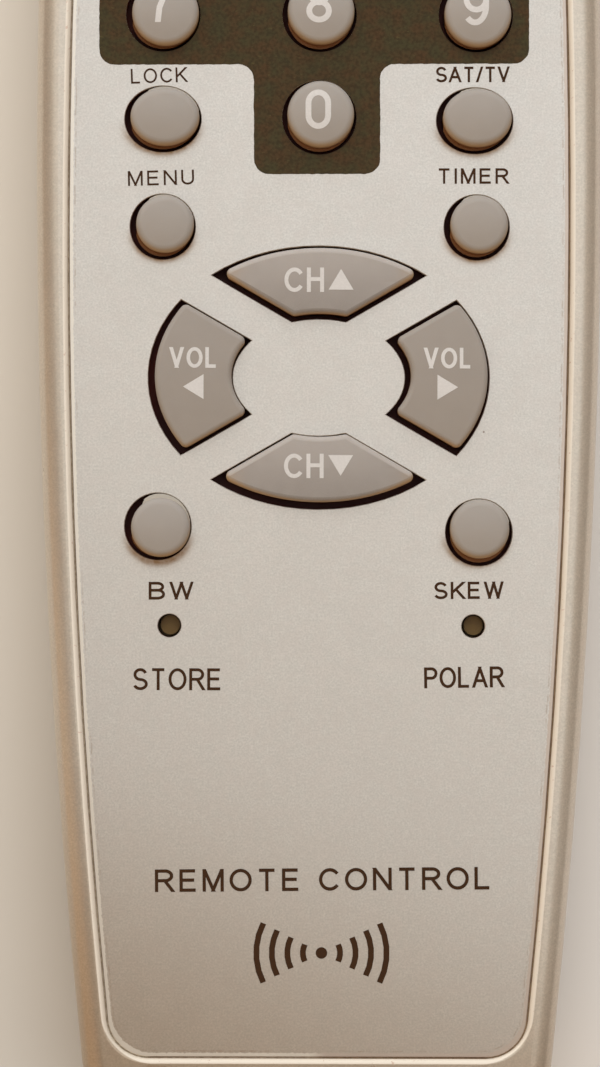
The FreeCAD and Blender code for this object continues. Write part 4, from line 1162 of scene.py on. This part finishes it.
ALPHABET = {
    " ": Glyph(0.2, ()),
    "/": Glyph(0.3, (slope((0, 0), (0.3, 1)),)),
    "0": Glyph(0.54, ([*bow((0.27, 0.68), (0.27, 0.32), 0, 180), *bow((0.27, 0.32), (0.27, 0.32), 180, 360),
                       (0.54, 0.68)],)),
    "1": Glyph(0.3, (upright(0.26), [(0.26, 0.98), (0.14, 0.83), (-0.04, 0.75)])),
    "2": Glyph(0.54, ([*bow((0.27, 0.73), (0.26, 0.27), 170, -30), (0.1, 0.16), (0.02, 0), (0.56, 0)],)),
    "3": Glyph(0.54, (bow((0.26, 0.765), (0.23, 0.235), 165, -90),
                      bow((0.26, 0.27), (0.28, 0.27), 90, -165))),
    "4": Glyph(0.56, (upright(0.42), [(0.42, 0.98), (-0.02, 0.29), (0.6, 0.29)])),
    "5": Glyph(0.54, ([(0.5, 1), (0.13, 1), (0.06, 0.47)], bow((0.26, 0.33), (0.28, 0.33), 135, -160))),
    "6": Glyph(0.54, ([*bow((0.3, 0.5), (0.3, 0.5), 46, 180), (0, 0.31)],
                      bow((0.27, 0.31), (0.27, 0.31), 0, 360))),
    "7": Glyph(0.52, ([(0, 1), (0.52, 1), (0.34, 0.68), (0.22, 0.35), (0.15, -PAST_LINE)],)),
    "8": Glyph(0.54, (bow((0.27, 0.755), (0.22, 0.245), 0, 360), bow((0.27, 0.265), (0.27, 0.265), 0, 360))),
    "9": Glyph(0.54, ([*bow((0.24, 0.5), (0.3, 0.5), 226, 360), (0.54, 0.69)],
                      bow((0.27, 0.69), (0.27, 0.31), 0, 360))),
    "A": Glyph(0.74, (slope((0.02, 0), (0.37, 1)), slope((0.72, 0), (0.37, 1)), level(0.3, 0.13, 0.61))),
    "B": Glyph(0.62, (upright(0), [(0, 1), *bow((0.34, 0.765), (0.24, 0.235), 90, -90), (0, 0.53)],
                      [(0, 0.53), *bow((0.34, 0.265), (0.28, 0.265), 90, -90), (0, 0)])),
    "C": Glyph(0.7, (bow((0.38, 0.5), (0.38, 0.5), 36, 324),)),
    "D": Glyph(0.68, (upright(0), [(0, 1), *bow((0.26, 0.5), (0.42, 0.5), 90, -90), (0, 0)])),
    "E": Glyph(0.58, (upright(0), level(1, 0, 0.58), level(0.52, 0, 0.54), level(0, 0, 0.6))),
    "F": Glyph(0.56, (upright(0), level(1, 0, 0.56), level(0.51, 0, 0.5))),
    "G": Glyph(0.76, (bow((0.39, 0.5), (0.39, 0.5), 38, 335), [(0.42, 0.46), (0.76, 0.46), (0.76, 0.1)])),
    "H": Glyph(0.62, (upright(0), upright(0.62), level(0.53, 0, 0.62))),
    "I": Glyph(0.0, (upright(0),)),
    "K": Glyph(0.64, (upright(0), ray((0, 0.34), (0.6, 1)), ray((0.22, 0.58), (0.64, 0)))),
    "L": Glyph(0.52, (upright(0), level(0, 0, 0.54))),
    "M": Glyph(0.74, (upright(0), upright(0.74), slope((0.37, 0), (0.03, 1)), slope((0.37, 0), (0.71, 1)))),
    "N": Glyph(0.64, (upright(0), upright(0.64), slope((0.61, 0), (0.03, 1)))),
    "O": Glyph(0.78, (bow((0.39, 0.5), (0.39, 0.5), 0, 360),)),
    "P": Glyph(0.6, (upright(0), [(0, 1), *bow((0.34, 0.74), (0.26, 0.26), 90, -90), (0, 0.48)])),
    "R": Glyph(0.64, (upright(0), [(0, 1), *bow((0.36, 0.75), (0.26, 0.25), 90, -90), (0, 0.5)],
                      ray((0.34, 0.5), (0.64, 0)))),
    "S": Glyph(0.62, ([*bow((0.31, 0.74), (0.28, 0.26), 18, 270),
                       *bow((0.31, 0.24), (0.31, 0.24), 90, -162)],)),
    "T": Glyph(0.64, (upright(0.32), level(1, 0, 0.64))),
    "U": Glyph(0.62, ([(0, 1 + PAST_LINE), *bow((0.31, 0.34), (0.31, 0.34), 180, 360),
                       (0.62, 1 + PAST_LINE)],)),
    "V": Glyph(0.68, (slope((0.34, 0), (0.02, 1)), slope((0.34, 0), (0.66, 1)))),
    "W": Glyph(0.98, (slope((0.25, 0), (0.02, 1)), slope((0.25, 0), (0.49, 1)),
                      slope((0.73, 0), (0.49, 1)), slope((0.73, 0), (0.96, 1)))),
}


def spaced(points: Sequence[Vector], pitch: float) -> list[Vector]:
    """A path with more points on its long runs.

    Args:
        points: The path.
        pitch: The longest run that may stay.

    Returns:
        The same path.
    """
    found = [points[0]]
    for start, finish in zip(points, points[1:]):
        count = math.ceil((finish - start).length / pitch)
        found += [start.lerp(finish, step / count) for step in range(1, count + 1)]
    return found


def rail(path: Sequence[Vector], index: int, closed: bool) -> Vector:
    """Which way and how far the edge of a stroke one unit wide each way lies from a point of its middle line.

    Args:
        path: The middle line.
        index: Which point.
        closed: Whether the path ends where it starts.

    Returns:
        The offset to the left, longer at a bend.
    """
    last = len(path) - 1
    before = path[index - 1] if index > 0 or closed else None
    after = path[(index + 1) % len(path)] if index < last or closed else None
    first = (path[index] - before).normalized() if before else (after - path[index]).normalized()
    second = (after - path[index]).normalized() if after else first
    way = (first + second).normalized()
    return Vector((-way.y, way.x, 0)) / max(way.dot(first), SHARPEST_MITRE)


def stroked(points: Sequence[Vector], stroke: float, pitch: float) -> bmesh.types.BMesh:
    """A flat line of even width along a path.

    Args:
        points: The path, closed if its last point is its first.
        stroke: The line's width in millimetres.
        pitch: How far apart its points may be.

    Returns:
        The line at level 0.
    """
    path = spaced(points, pitch)
    closed = (path[0] - path[-1]).length < stroke * SAME_POINT
    if closed:
        path.pop()
    line = bmesh.new()
    middle = [line.verts.new(point) for point in path]
    pairs = list(zip(middle, middle[1:] + middle[:1]))
    edges = [line.edges.new(pair) for pair in (pairs if closed else pairs[:-1])]
    offset = {vert: rail(path, index, closed) * stroke / 2 for index, vert in enumerate(middle)}
    made = bmesh.ops.extrude_edge_only(line, edges=edges)
    for vert in new_verts(made):
        root = next(edge.other_vert(vert) for edge in vert.link_edges if edge.other_vert(vert) in offset)
        vert.co = root.co + offset[root]
    for vert, shift in offset.items():
        vert.co -= shift
    return line


@dataclass(frozen=True)
class Legend:
    """A printed word, in millimetres. Its letters are stretched to its width, but its strokes aren't."""
    text: str
    centre: Point
    height: float
    stroke: float
    width: float
    tilt: float = 0.0
    gap: float = 0.2
    pitch: float = 0.35

    def print_on(self, surface: Height) -> bmesh.types.BMesh:
        """Prints the word on a surface, each stroke a hair above the one before, as they cross.

        Args:
            surface: The surface's level at a place.

        Returns:
            The ink, in millimetres.
        """
        inner = self.height - self.stroke
        step = self.gap * inner + self.stroke
        natural = sum(ALPHABET[letter].width * inner + step for letter in self.text) - step
        stretch = (self.width - self.stroke) / natural
        start = -natural * stretch / 2
        place = Matrix.Translation((*self.centre, 0)) @ Matrix.Rotation(math.radians(self.tilt), 4, "Z")
        shapes = []
        for letter in self.text:
            glyph = ALPHABET[letter]
            for stroke in glyph.strokes:
                path = [Vector((start + x * inner * stretch, (y - 0.5) * inner, 0)) for x, y in stroke]
                line = stroked(path, self.stroke, self.pitch)
                self._trim(line)
                bmesh.ops.transform(line, matrix=place, verts=line.verts)
                shapes.append(laid(line, surface, INK_FILM + LAYER * len(shapes)))
            start += (glyph.width * inner + step) * stretch
        return joined(shapes)

    def _trim(self, line: bmesh.types.BMesh) -> None:
        """Cuts off what runs past the base line and the top line."""
        for side in (-1, 1):
            bmesh.ops.bisect_plane(
                line, geom=[*line.verts, *line.edges, *line.faces], plane_co=(0, side * self.height / 2, 0),
                plane_no=(0, side, 0), clear_outer=True,
            )


class Arrow(Enum):
    """Which way an arrow points, as degrees from +X."""
    RIGHT = 0.0
    UP = 90.0
    LEFT = 180.0
    DOWN = 270.0

    def print_on(self, surface: Height, centre: Point, size: Point) -> bmesh.types.BMesh:
        """Prints a solid triangle.

        Args:
            surface: The level of what it is printed on.
            centre: The middle of its box, in millimetres.
            size: Its length from base to tip, and its width across the base.

        Returns:
            The ink, in millimetres.
        """
        length, width = size
        mark = bmesh.new()
        corners = [(length / 2, 0, 0), (-length / 2, width / 2, 0), (-length / 2, -width / 2, 0)]
        mark.faces.new([mark.verts.new(corner) for corner in corners])
        gridded(mark, width / 4)
        turn = Matrix.Rotation(math.radians(self.value), 4, "Z")
        bmesh.ops.transform(mark, matrix=Matrix.Translation((*centre, 0)) @ turn, verts=mark.verts)
        return laid(mark, surface, INK_FILM)


# ---------------------------------------------------------------------------------------------------------
# Sub-assemblies
# ---------------------------------------------------------------------------------------------------------


@dataclass
class CaseShells:
    """The two painted case halves."""
    shells: tuple[str, ...] = ("upper_shell", "lower_shell")

    def build(self) -> None:
        """Dresses both halves."""
        for node in self.shells:
            dress(node, CASE_PAINT)
        log.info("case shells: %d dressed", len(self.shells))


@dataclass
class FacePlate:
    """The thin front plate, its printed digit field and its legends."""
    field_sides: Span = (-21.25, 20.25)
    stem_sides: Span = (-6.35, 5.85)
    field_top: float = 45.2
    field_bottom: float = 15.43
    stem_foot: float = 4.82
    field_tilt: float = 0.28
    field_corner: float = 1.45
    corner_segments: int = 7
    hole_radius: float = 3.6
    hole_segments: int = 80
    ragged: float = 0.05
    ragged_pitch: float = 0.22
    ragged_seed: int = 1
    ragged_scale: float = 2.2
    digit_columns: tuple[float, ...] = (-15.1, 0.0, 15.1)
    digit_rows: tuple[float, ...] = (20.2, 30.3, 40.4)
    zero_place: Point = (0.0, 10.29)
    joint_width: float = 0.14
    joint_sink: float = 0.13
    joint_pitch: float = 4.0
    mark_place: Point = (0.4, -70.4)
    mark_radii: tuple[float, ...] = (1.8, 3.3, 4.8, 6.3)
    mark_spread: float = 27.0
    mark_stroke: float = 0.56
    mark_pitch: float = 1.0
    dot_segments: int = 24
    legends: tuple[Legend, ...] = (
        Legend("LOCK", (-15.5, 14.3), 1.43, 0.18, 5.42, tilt=2.0, gap=0.2),
        Legend("SAT/TV", (14.8, 14.47), 1.5, 0.23, 7.14, tilt=0.4, gap=0.1),
        Legend("MENU", (-15.28, 4.42), 1.43, 0.19, 6.38, tilt=1.5, gap=0.22),
        Legend("TIMER", (14.86, 4.66), 1.49, 0.22, 6.85, tilt=0.2, gap=0.2),
        Legend("BW", (-14.2, -35.45), 1.72, 0.27, 4.34, tilt=0.3, gap=0.14),
        Legend("SKEW", (14.55, -35.35), 1.66, 0.26, 6.74, tilt=0.6, gap=0.14),
        Legend("STORE", (-13.6, -44.0), 2.12, 0.285, 8.54, gap=0.14),
        Legend("POLAR", (14.1, -43.75), 2.02, 0.285, 7.7, tilt=1.0, gap=0.12),
        Legend("REMOTE CONTROL", (0.5, -63.3), 2.18, 0.32, 32.4, tilt=0.6, gap=0.2),
        Legend("AUDIO", (-15.3, 55.1), 1.42, 0.16, 6.6, gap=0.3),
        Legend("GUIDE", (-0.1, 55.15), 1.42, 0.16, 6.4, gap=0.3),
        Legend("RADIO", (14.9, 55.15), 1.42, 0.16, 6.6, gap=0.3),
        Legend("PAUSE", (-15.3, 65.2), 1.42, 0.16, 6.6, gap=0.3),
        Legend("FAV", (-0.1, 65.2), 1.42, 0.16, 4.4, gap=0.3),
        Legend("RECALL", (14.9, 65.2), 1.42, 0.16, 7.6, gap=0.3),
        Legend("POWER", (-15.3, 75.3), 1.42, 0.16, 7.2, gap=0.3),
        Legend("MUTE", (14.9, 75.3), 1.42, 0.16, 5.8, gap=0.3),
    )

    def build(self) -> None:
        """Dresses the plate and prints on it."""
        dress("face_plate", PLATE_PAINT)
        finished("digit_field", self.field(), FIELD_INK, CASE)
        surface = flat_height(PLATE_TOP)
        words = joined([legend.print_on(surface) for legend in self.legends])
        finished("plate_legends", words, LEGEND_INK, CASE)
        finished("beam_mark", self.beam_mark(), LEGEND_INK, CASE)
        finished("plate_joint", self.joint(), JOINT_DUST, CASE)
        log.info("face plate: digit field, %d legends and a mark", len(self.legends))

    def field(self) -> bmesh.types.BMesh:
        """The dark T-shaped field behind the digits, open round each hole.

        Returns:
            The ink in millimetres.
        """
        (left, right), (stem_left, stem_right) = self.field_sides, self.stem_sides
        outer = [(left, self.field_bottom), (left, self.field_top), (right, self.field_top),
                 (right, self.field_bottom), (stem_right, self.stem_foot), (stem_left, self.stem_foot)]
        inner = [(stem_right, self.field_bottom), (stem_left, self.field_bottom)]
        film = bmesh.new()
        verts = {place: film.verts.new((*place, 0)) for place in outer + inner}
        film.faces.new([verts[place] for place in [*outer[:4], inner[0], outer[4], outer[5], inner[1]]])
        for places in (outer, inner):
            bmesh.ops.bevel(
                film, geom=[verts[place] for place in places], offset=self.field_corner, offset_type="OFFSET",
                segments=self.corner_segments, profile=0.5, affect="VERTICES", material=-1,
            )
        bmesh.ops.delete(film, geom=list(film.faces), context="FACES_ONLY")
        pivot = Vector((0, self.field_bottom, 0))
        turn = Matrix.Rotation(math.radians(self.field_tilt), 3, "Z")
        bmesh.ops.rotate(film, cent=pivot, matrix=turn, verts=film.verts)
        self._fray(film)
        holes = [(x, y) for x in self.digit_columns for y in self.digit_rows]
        for x, y in [*holes, self.zero_place]:
            middle = Matrix.Translation((x, y, 0))
            bmesh.ops.create_circle(film, segments=self.hole_segments, radius=self.hole_radius, matrix=middle)
        bmesh.ops.triangle_fill(film, use_beauty=True, edges=film.edges, normal=(0, 0, 1))
        return laid(film, flat_height(PLATE_TOP), INK_FILM)

    def _fray(self, outline: bmesh.types.BMesh) -> None:
        """Makes a printed edge slightly uneven.

        Args:
            outline: The edge's outline.
        """
        for edge in list(outline.edges):
            cuts = math.floor(edge.calc_length() / self.ragged_pitch)
            if cuts:
                bmesh.ops.subdivide_edges(outline, edges=[edge], cuts=cuts)
        noise.seed_set(self.ragged_seed)    # or else each run frays the edge in another way
        for vert in outline.verts:
            vert.co += noise.noise_vector(vert.co * self.ragged_scale).to_2d().to_3d() * self.ragged

    def joint(self) -> bmesh.types.BMesh:
        """What has settled in the joint round the plate.

        Returns:
            A thin bead in millimetres.
        """
        middle = POCKET_PLAN.inset((POCKET_PLAN.half_width - PLATE_PLAN.half_width) / 2)
        path = [Vector((*place, 0)) for place in middle.outline()]
        bead = stroked(path, self.joint_width, self.joint_pitch)
        return laid(bead, flat_height(PLATE_TOP - self.joint_sink), INK_FILM)

    def beam_mark(self) -> bmesh.types.BMesh:
        """A plain mark of a beam: a dot with bows on both sides.

        Returns:
            The ink in millimetres.
        """
        surface = flat_height(PLATE_TOP)
        dot = bmesh.new()
        bmesh.ops.create_circle(
            dot, cap_ends=True, segments=self.dot_segments, radius=self.mark_stroke,
            matrix=Matrix.Translation((*self.mark_place, 0)),
        )
        marks = [laid(dot, surface, INK_FILM)]
        for radius in self.mark_radii:
            for way in (0, 180):
                start, finish = way - self.mark_spread, way + self.mark_spread
                places = bow(self.mark_place, (radius, radius), start, finish)
                path = [Vector((*place, 0)) for place in places]
                marks.append(laid(stroked(path, self.mark_stroke, self.mark_pitch), surface, INK_FILM))
        return joined(marks)


@dataclass
class Keypad:
    """The rubber keys, what is printed on them, and the mat under them."""
    pins: tuple[str, ...] = ("key_store", "key_polar")
    # painted light in the gap where each named key leans on its hole
    flash_sweep: Span = (5.0, 130.0)
    flash_drop: float = 0.1
    flash_gap: float = 0.02
    # painted shade in the gap at each key's tail side
    foot_sweep: Span = (-170.0, -20.0)
    foot_drop: float = 0.4
    foot_gap: float = 0.3
    crescent_thick: float = 0.04
    crescent_root: float = 0.1
    crescent_taper: float = 0.4
    digit_height: float = 3.8
    digit_stroke: float = 0.56
    digit_stretch: float = 1.08
    digit_shift: Point = (-0.2, 0.69)
    digit_moved: dict[int, Point] = field(default_factory=lambda: {0: (-0.24, 0.4), 7: (-0.4, 0.86)})
    channel_text: Legend = Legend("CH", (-1.42, -0.1), 2.35, 0.38, 3.81, gap=0.16)
    channel_arrow: Point = (2.12, -0.05)
    channel_arrow_size: Point = (2.0, 2.4)
    channel_y: Span = (-5.4, -23.3)
    volume_text: Legend = Legend("VOL", (0.0, -13.0), 2.0, 0.34, 4.6, gap=0.18)
    volume_x: Span = (-12.07, 12.4)
    volume_arrow_y: float = -15.8
    volume_arrow_size: Point = (1.98, 2.4)

    def build(self) -> None:
        """Dresses the keys and the mat, and prints the keys."""
        keys = [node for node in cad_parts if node.startswith("key_")]
        for node in keys:
            dress(node, self.rubber(node))
        dress("keypad_mat", MAT_RUBBER)
        self.add_crescents()
        for number in range(len(DIGIT_KEYS)):
            self.print_digit(number)
        channels = zip(("key_channel_up", "key_channel_down"), self.channel_y, (Arrow.UP, Arrow.DOWN))
        for node, y, arrow in channels:
            self.print_channel(node, y, arrow)
        volumes = zip(("key_volume_down", "key_volume_up"), self.volume_x, (Arrow.LEFT, Arrow.RIGHT))
        for node, x, arrow in volumes:
            self.print_volume(node, x, arrow)
        log.info("keypad: %d keys", len(keys))

    def rubber(self, node: str) -> Silicone:
        """The rubber that a key is moulded in."""
        if node in self.pins:
            return PIN_RUBBER
        if node.startswith("key_channel"):
            return CHANNEL_RUBBER
        return VOLUME_RUBBER if node.startswith("key_volume") else KEY_RUBBER

    def crescent(self, node: str, plate: Skin, sweep: Span, drop: float, gap: float) -> bmesh.types.BMesh:
        """A thin crescent of rubber that stands out from a key's side, in its hole.

        Args:
            node: The key.
            plate: The front plate, with its holes.
            sweep: Where it starts and ends round the key, in degrees from +X.
            drop: How far it lies below the plate's face.
            gap: How far it stays clear of the hole's wall, in millimetres.

        Returns:
            The crescent in millimetres.
        """
        key = Skin(node)
        middle = Vector((*key.middle, PLATE_TOP - drop))
        places = bow((0, 0), (1, 1), *sweep)
        shape = bmesh.new()
        inner, outer = [], []
        for step, place in enumerate(places):
            way = Vector((*place, 0))
            cap, hole = key.side(middle, way), plate.side(middle, way)
            swell = math.sin(math.pi * step / (len(places) - 1)) ** self.crescent_taper
            level = Vector((middle.x, middle.y, 0))
            inner.append(shape.verts.new(level + way * (cap - self.crescent_root)))
            outer.append(shape.verts.new(level + way * (cap + max(hole - cap - gap, 0.0) * swell)))
        edges = [shape.edges.new(pair) for side in (inner, outer) for pair in zip(side, side[1:])]
        bmesh.ops.bridge_loops(shape, edges=edges)
        return laid(shape, flat_height(middle.z), self.crescent_thick)

    def add_crescents(self) -> None:
        """Adds to each round or oval key a brown crescent of painted shade in its hole at its tail side,
        and to each named key a pale crescent of painted light where it leans on its hole.
        """
        plate = Skin("face_plate")
        for node in (*NAMED_KEYS, *DIGIT_KEYS):
            # painted shade in the gap at the key's tail side
            foot = self.crescent(node, plate, self.foot_sweep, self.foot_drop, self.foot_gap)
            finished(f"{node}_foot", foot, FOOT_SHADE_RUBBER, node)
            if node in NAMED_KEYS:
                # painted light in the gap at the key's head and right side
                gap_light = self.crescent(node, plate, self.flash_sweep, self.flash_drop, self.flash_gap)
                finished(f"{node}_flash", gap_light, GAP_LIGHT_RUBBER, node)

    def print_digit(self, number: int) -> None:
        """Prints one digit on its key.

        Args:
            number: The digit.
        """
        node = DIGIT_KEYS[number]
        skin = Skin(node)
        across, along = self.digit_moved.get(number, self.digit_shift)
        place = (skin.middle.x + across, skin.middle.y + along)
        width = ALPHABET[str(number)].width * (self.digit_height - self.digit_stroke) * self.digit_stretch
        digit = Legend(str(number), place, self.digit_height, self.digit_stroke, width + self.digit_stroke)
        finished(f"{node}_print", digit.print_on(skin.level), KEY_INK, node)

    def print_channel(self, node: str, y: float, arrow: Arrow) -> None:
        """Prints CH and an arrow side by side.

        Args:
            node: The key.
            y: The words' level along the handset.
            arrow: Which way the arrow points.
        """
        skin = Skin(node)
        across, down = self.channel_text.centre
        text = replace(self.channel_text, centre=(across, y + down))
        mark_place = (self.channel_arrow[0], y + self.channel_arrow[1])
        mark = arrow.print_on(skin.level, mark_place, self.channel_arrow_size)
        finished(f"{node}_print", joined([text.print_on(skin.level), mark]), KEY_INK, node)

    def print_volume(self, node: str, x: float, arrow: Arrow) -> None:
        """Prints VOL with an arrow below it.

        Args:
            node: The key.
            x: The words' middle across the handset.
            arrow: Which way the arrow points.
        """
        skin = Skin(node)
        text = replace(self.volume_text, centre=(x, self.volume_text.centre[1]))
        mark = arrow.print_on(skin.level, (x, self.volume_arrow_y), self.volume_arrow_size)
        finished(f"{node}_print", joined([text.print_on(skin.level), mark]), KEY_INK, node)


@dataclass
class BatteryBay:
    """The door, the two cells and their contacts."""

    def build(self) -> None:
        """Dresses each piece of the bay."""
        dress("battery_door", CASE_PAINT)
        for side, way in (("left", 1.0), ("right", -1.0)):
            low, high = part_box(f"cell_sleeve_{side}")
            base = (low.y if way > 0 else high.y) / MM
            wrap = CellWrap(f"cell_wrap_{side}", srgb(34, 62, 50), (low.x + high.x) / (2 * MM), base, way)
            dress(f"cell_sleeve_{side}", wrap)
            dress(f"cell_{side}", CAN_STEEL)
        for node in ("positive_contact", "negative_contact", "bridge_contact"):
            dress(node, NICKEL)
        log.info("battery bay: door, two cells and three contacts")


@dataclass
class Electronics:
    """The board and what is soldered to it."""
    finishes: dict[str, Finish] = field(default_factory=lambda: {
        "circuit_board": LAMINATE,
        "infrared_emitter": EMITTER_EPOXY,
        "emitter_leads": TIN,
        "control_chip": CHIP_EPOXY,
        "chip_pins": TIN,
        "ceramic_resonator": RESONATOR_DIP,
        "filter_capacitor": CAPACITOR_SLEEVE,
        "driver_transistor": TRANSISTOR_EPOXY,
        "resistors": RESISTOR_LACQUER,
        "infrared_window": WINDOW_ACRYLIC,
        "board_screws": ZINC,
        "case_screws": ZINC,
    })

    def build(self) -> None:
        """Dresses each component, the window and the screws."""
        for node, finish in self.finishes.items():
            dress(node, finish)
        log.info("electronics, window and screws: %d nodes", len(self.finishes))


# ---------------------------------------------------------------------------------------------------------
# Studio
# ---------------------------------------------------------------------------------------------------------


@dataclass
class Studio:
    """The surface, the lights and the camera, which aren't part of the handset."""
    eye: Triple = (-1.77, -29.9, 350.7)
    lens: float = 115.3
    nearest: float = 10.0
    roll: float = 0.14
    table_size: float = 1.6
    along_light: tuple[tuple[float, Colour], ...] = (
        (0.0, (0.5, 0.39, 0.28, 1.0)), (0.25, (0.46, 0.34, 0.23, 1.0)), (0.38, (0.05, 0.02, 0.01, 1.0)),
        (0.424, (0.03, 0.015, 0.01, 1.0)), (0.464, (0.8, 0.73, 0.62, 1.0)),
        (0.54, (0.86, 0.89, 0.9, 1.0)), (1.0, (0.8, 0.79, 0.77, 1.0)),
    )
    across_light: tuple[tuple[float, Colour], ...] = (
        (0.0, (0.95, 0.86, 0.74, 1.0)), (0.2, (1.0, 0.94, 0.86, 1.0)), (0.4, (1.0, 1.0, 1.0, 1.0)),
        (0.64, (1.0, 1.0, 1.0, 1.0)), (0.82, (0.42, 0.36, 0.3, 1.0)), (1.0, (0.25, 0.2, 0.16, 1.0)),
    )
    slant: float = 0.45
    room_strength: float = 1.465
    backdrop: Colour = srgb(226, 220, 210)
    lamp_place: Triple = (60.0, 500.0, 480.0)
    lamp_size: float = 300.0
    lamp_power: float = 1.9
    lamp_colour: Triple = (1.0, 0.96, 0.9)

    def build(self) -> None:
        """Sets the whole studio."""
        self._table()
        self._world()
        self._lamp()
        self._camera()
        log.info("studio: table, world, lamp and camera")

    def _table(self) -> None:
        """The pale surface."""
        shape = bmesh.new()
        bmesh.ops.create_grid(shape, x_segments=1, y_segments=1, size=self.table_size / 2)
        mesh = bpy.data.meshes.new("table")
        shape.to_mesh(mesh)
        shape.free()
        mesh.materials.append(TABLETOP.material())
        table = bpy.data.objects.new("table", mesh)
        bpy.context.scene.collection.objects.link(table)

    def _world(self) -> None:
        """Soft light that is bright overhead and from the head's side, and warm and dim from the others.

        The camera itself sees a plain pale backdrop there.
        """
        world = bpy.data.worlds.new("room")
        bpy.context.scene.world = world
        graph = Graph(world)
        way = graph.node("ShaderNodeTexCoord").outputs["Generated"]
        split = graph.node("ShaderNodeSeparateXYZ", {}, {"Vector": way})
        side, ahead = Signal(graph, split.outputs["X"]), Signal(graph, split.outputs["Y"])
        along, across = (
            graph.node("ShaderNodeValToRGB", {"stops": stops}, {"Fac": share * 0.5 + 0.5}).outputs["Color"]
            for share, stops in ((ahead + side * self.slant, self.along_light), (side, self.across_light))
        )
        light = graph.mix(1.0, along, across, "MULTIPLY")
        room = graph.node("ShaderNodeBackground", {}, {"Color": light, "Strength": self.room_strength})
        seen = graph.node("ShaderNodeBackground", {}, {"Color": self.backdrop, "Strength": 1.0})
        direct = graph.node("ShaderNodeLightPath").outputs["Is Camera Ray"]
        both = graph.node("ShaderNodeMixShader", {}, {
            0: direct, 1: room.outputs["Background"], 2: seen.outputs["Background"],
        })
        graph.node("ShaderNodeOutputWorld", {}, {"Surface": both.outputs["Shader"]})

    def _lamp(self) -> None:
        """One large soft lamp beyond the head, which glossy surfaces don't mirror."""
        lamp = bpy.data.lights.new("softbox", "AREA")
        lamp.shape = "SQUARE"
        lamp.size = self.lamp_size * MM
        lamp.energy = self.lamp_power
        lamp.color = self.lamp_colour
        holder = bpy.data.objects.new("softbox", lamp)
        place = Vector(self.lamp_place) * MM
        holder.location = place
        holder.rotation_euler = (-place).to_track_quat("-Z", "Y").to_euler()
        holder.visible_glossy = False
        bpy.context.scene.collection.objects.link(holder)

    def _camera(self) -> None:
        """The camera straight above, with the head at the top."""
        camera = bpy.data.cameras.new("camera")
        camera.lens = self.lens
        camera.clip_start = self.nearest * MM
        holder = bpy.data.objects.new("camera", camera)
        holder.location = Vector(self.eye) * MM
        holder.rotation_euler = (0.0, 0.0, math.radians(self.roll))
        bpy.context.scene.collection.objects.link(holder)
        bpy.context.scene.camera = holder


def main() -> None:
    """Builds the handset and its studio."""
    logging.basicConfig(level=logging.INFO, format="%(name)s: %(message)s")
    bpy.context.scene.view_settings.view_transform = "Standard"
    for assembly in (CaseShells(), FacePlate(), Keypad(), BatteryBay(), Electronics(), Studio()):
        assembly.build()


if __name__ == "__main__":
    main()
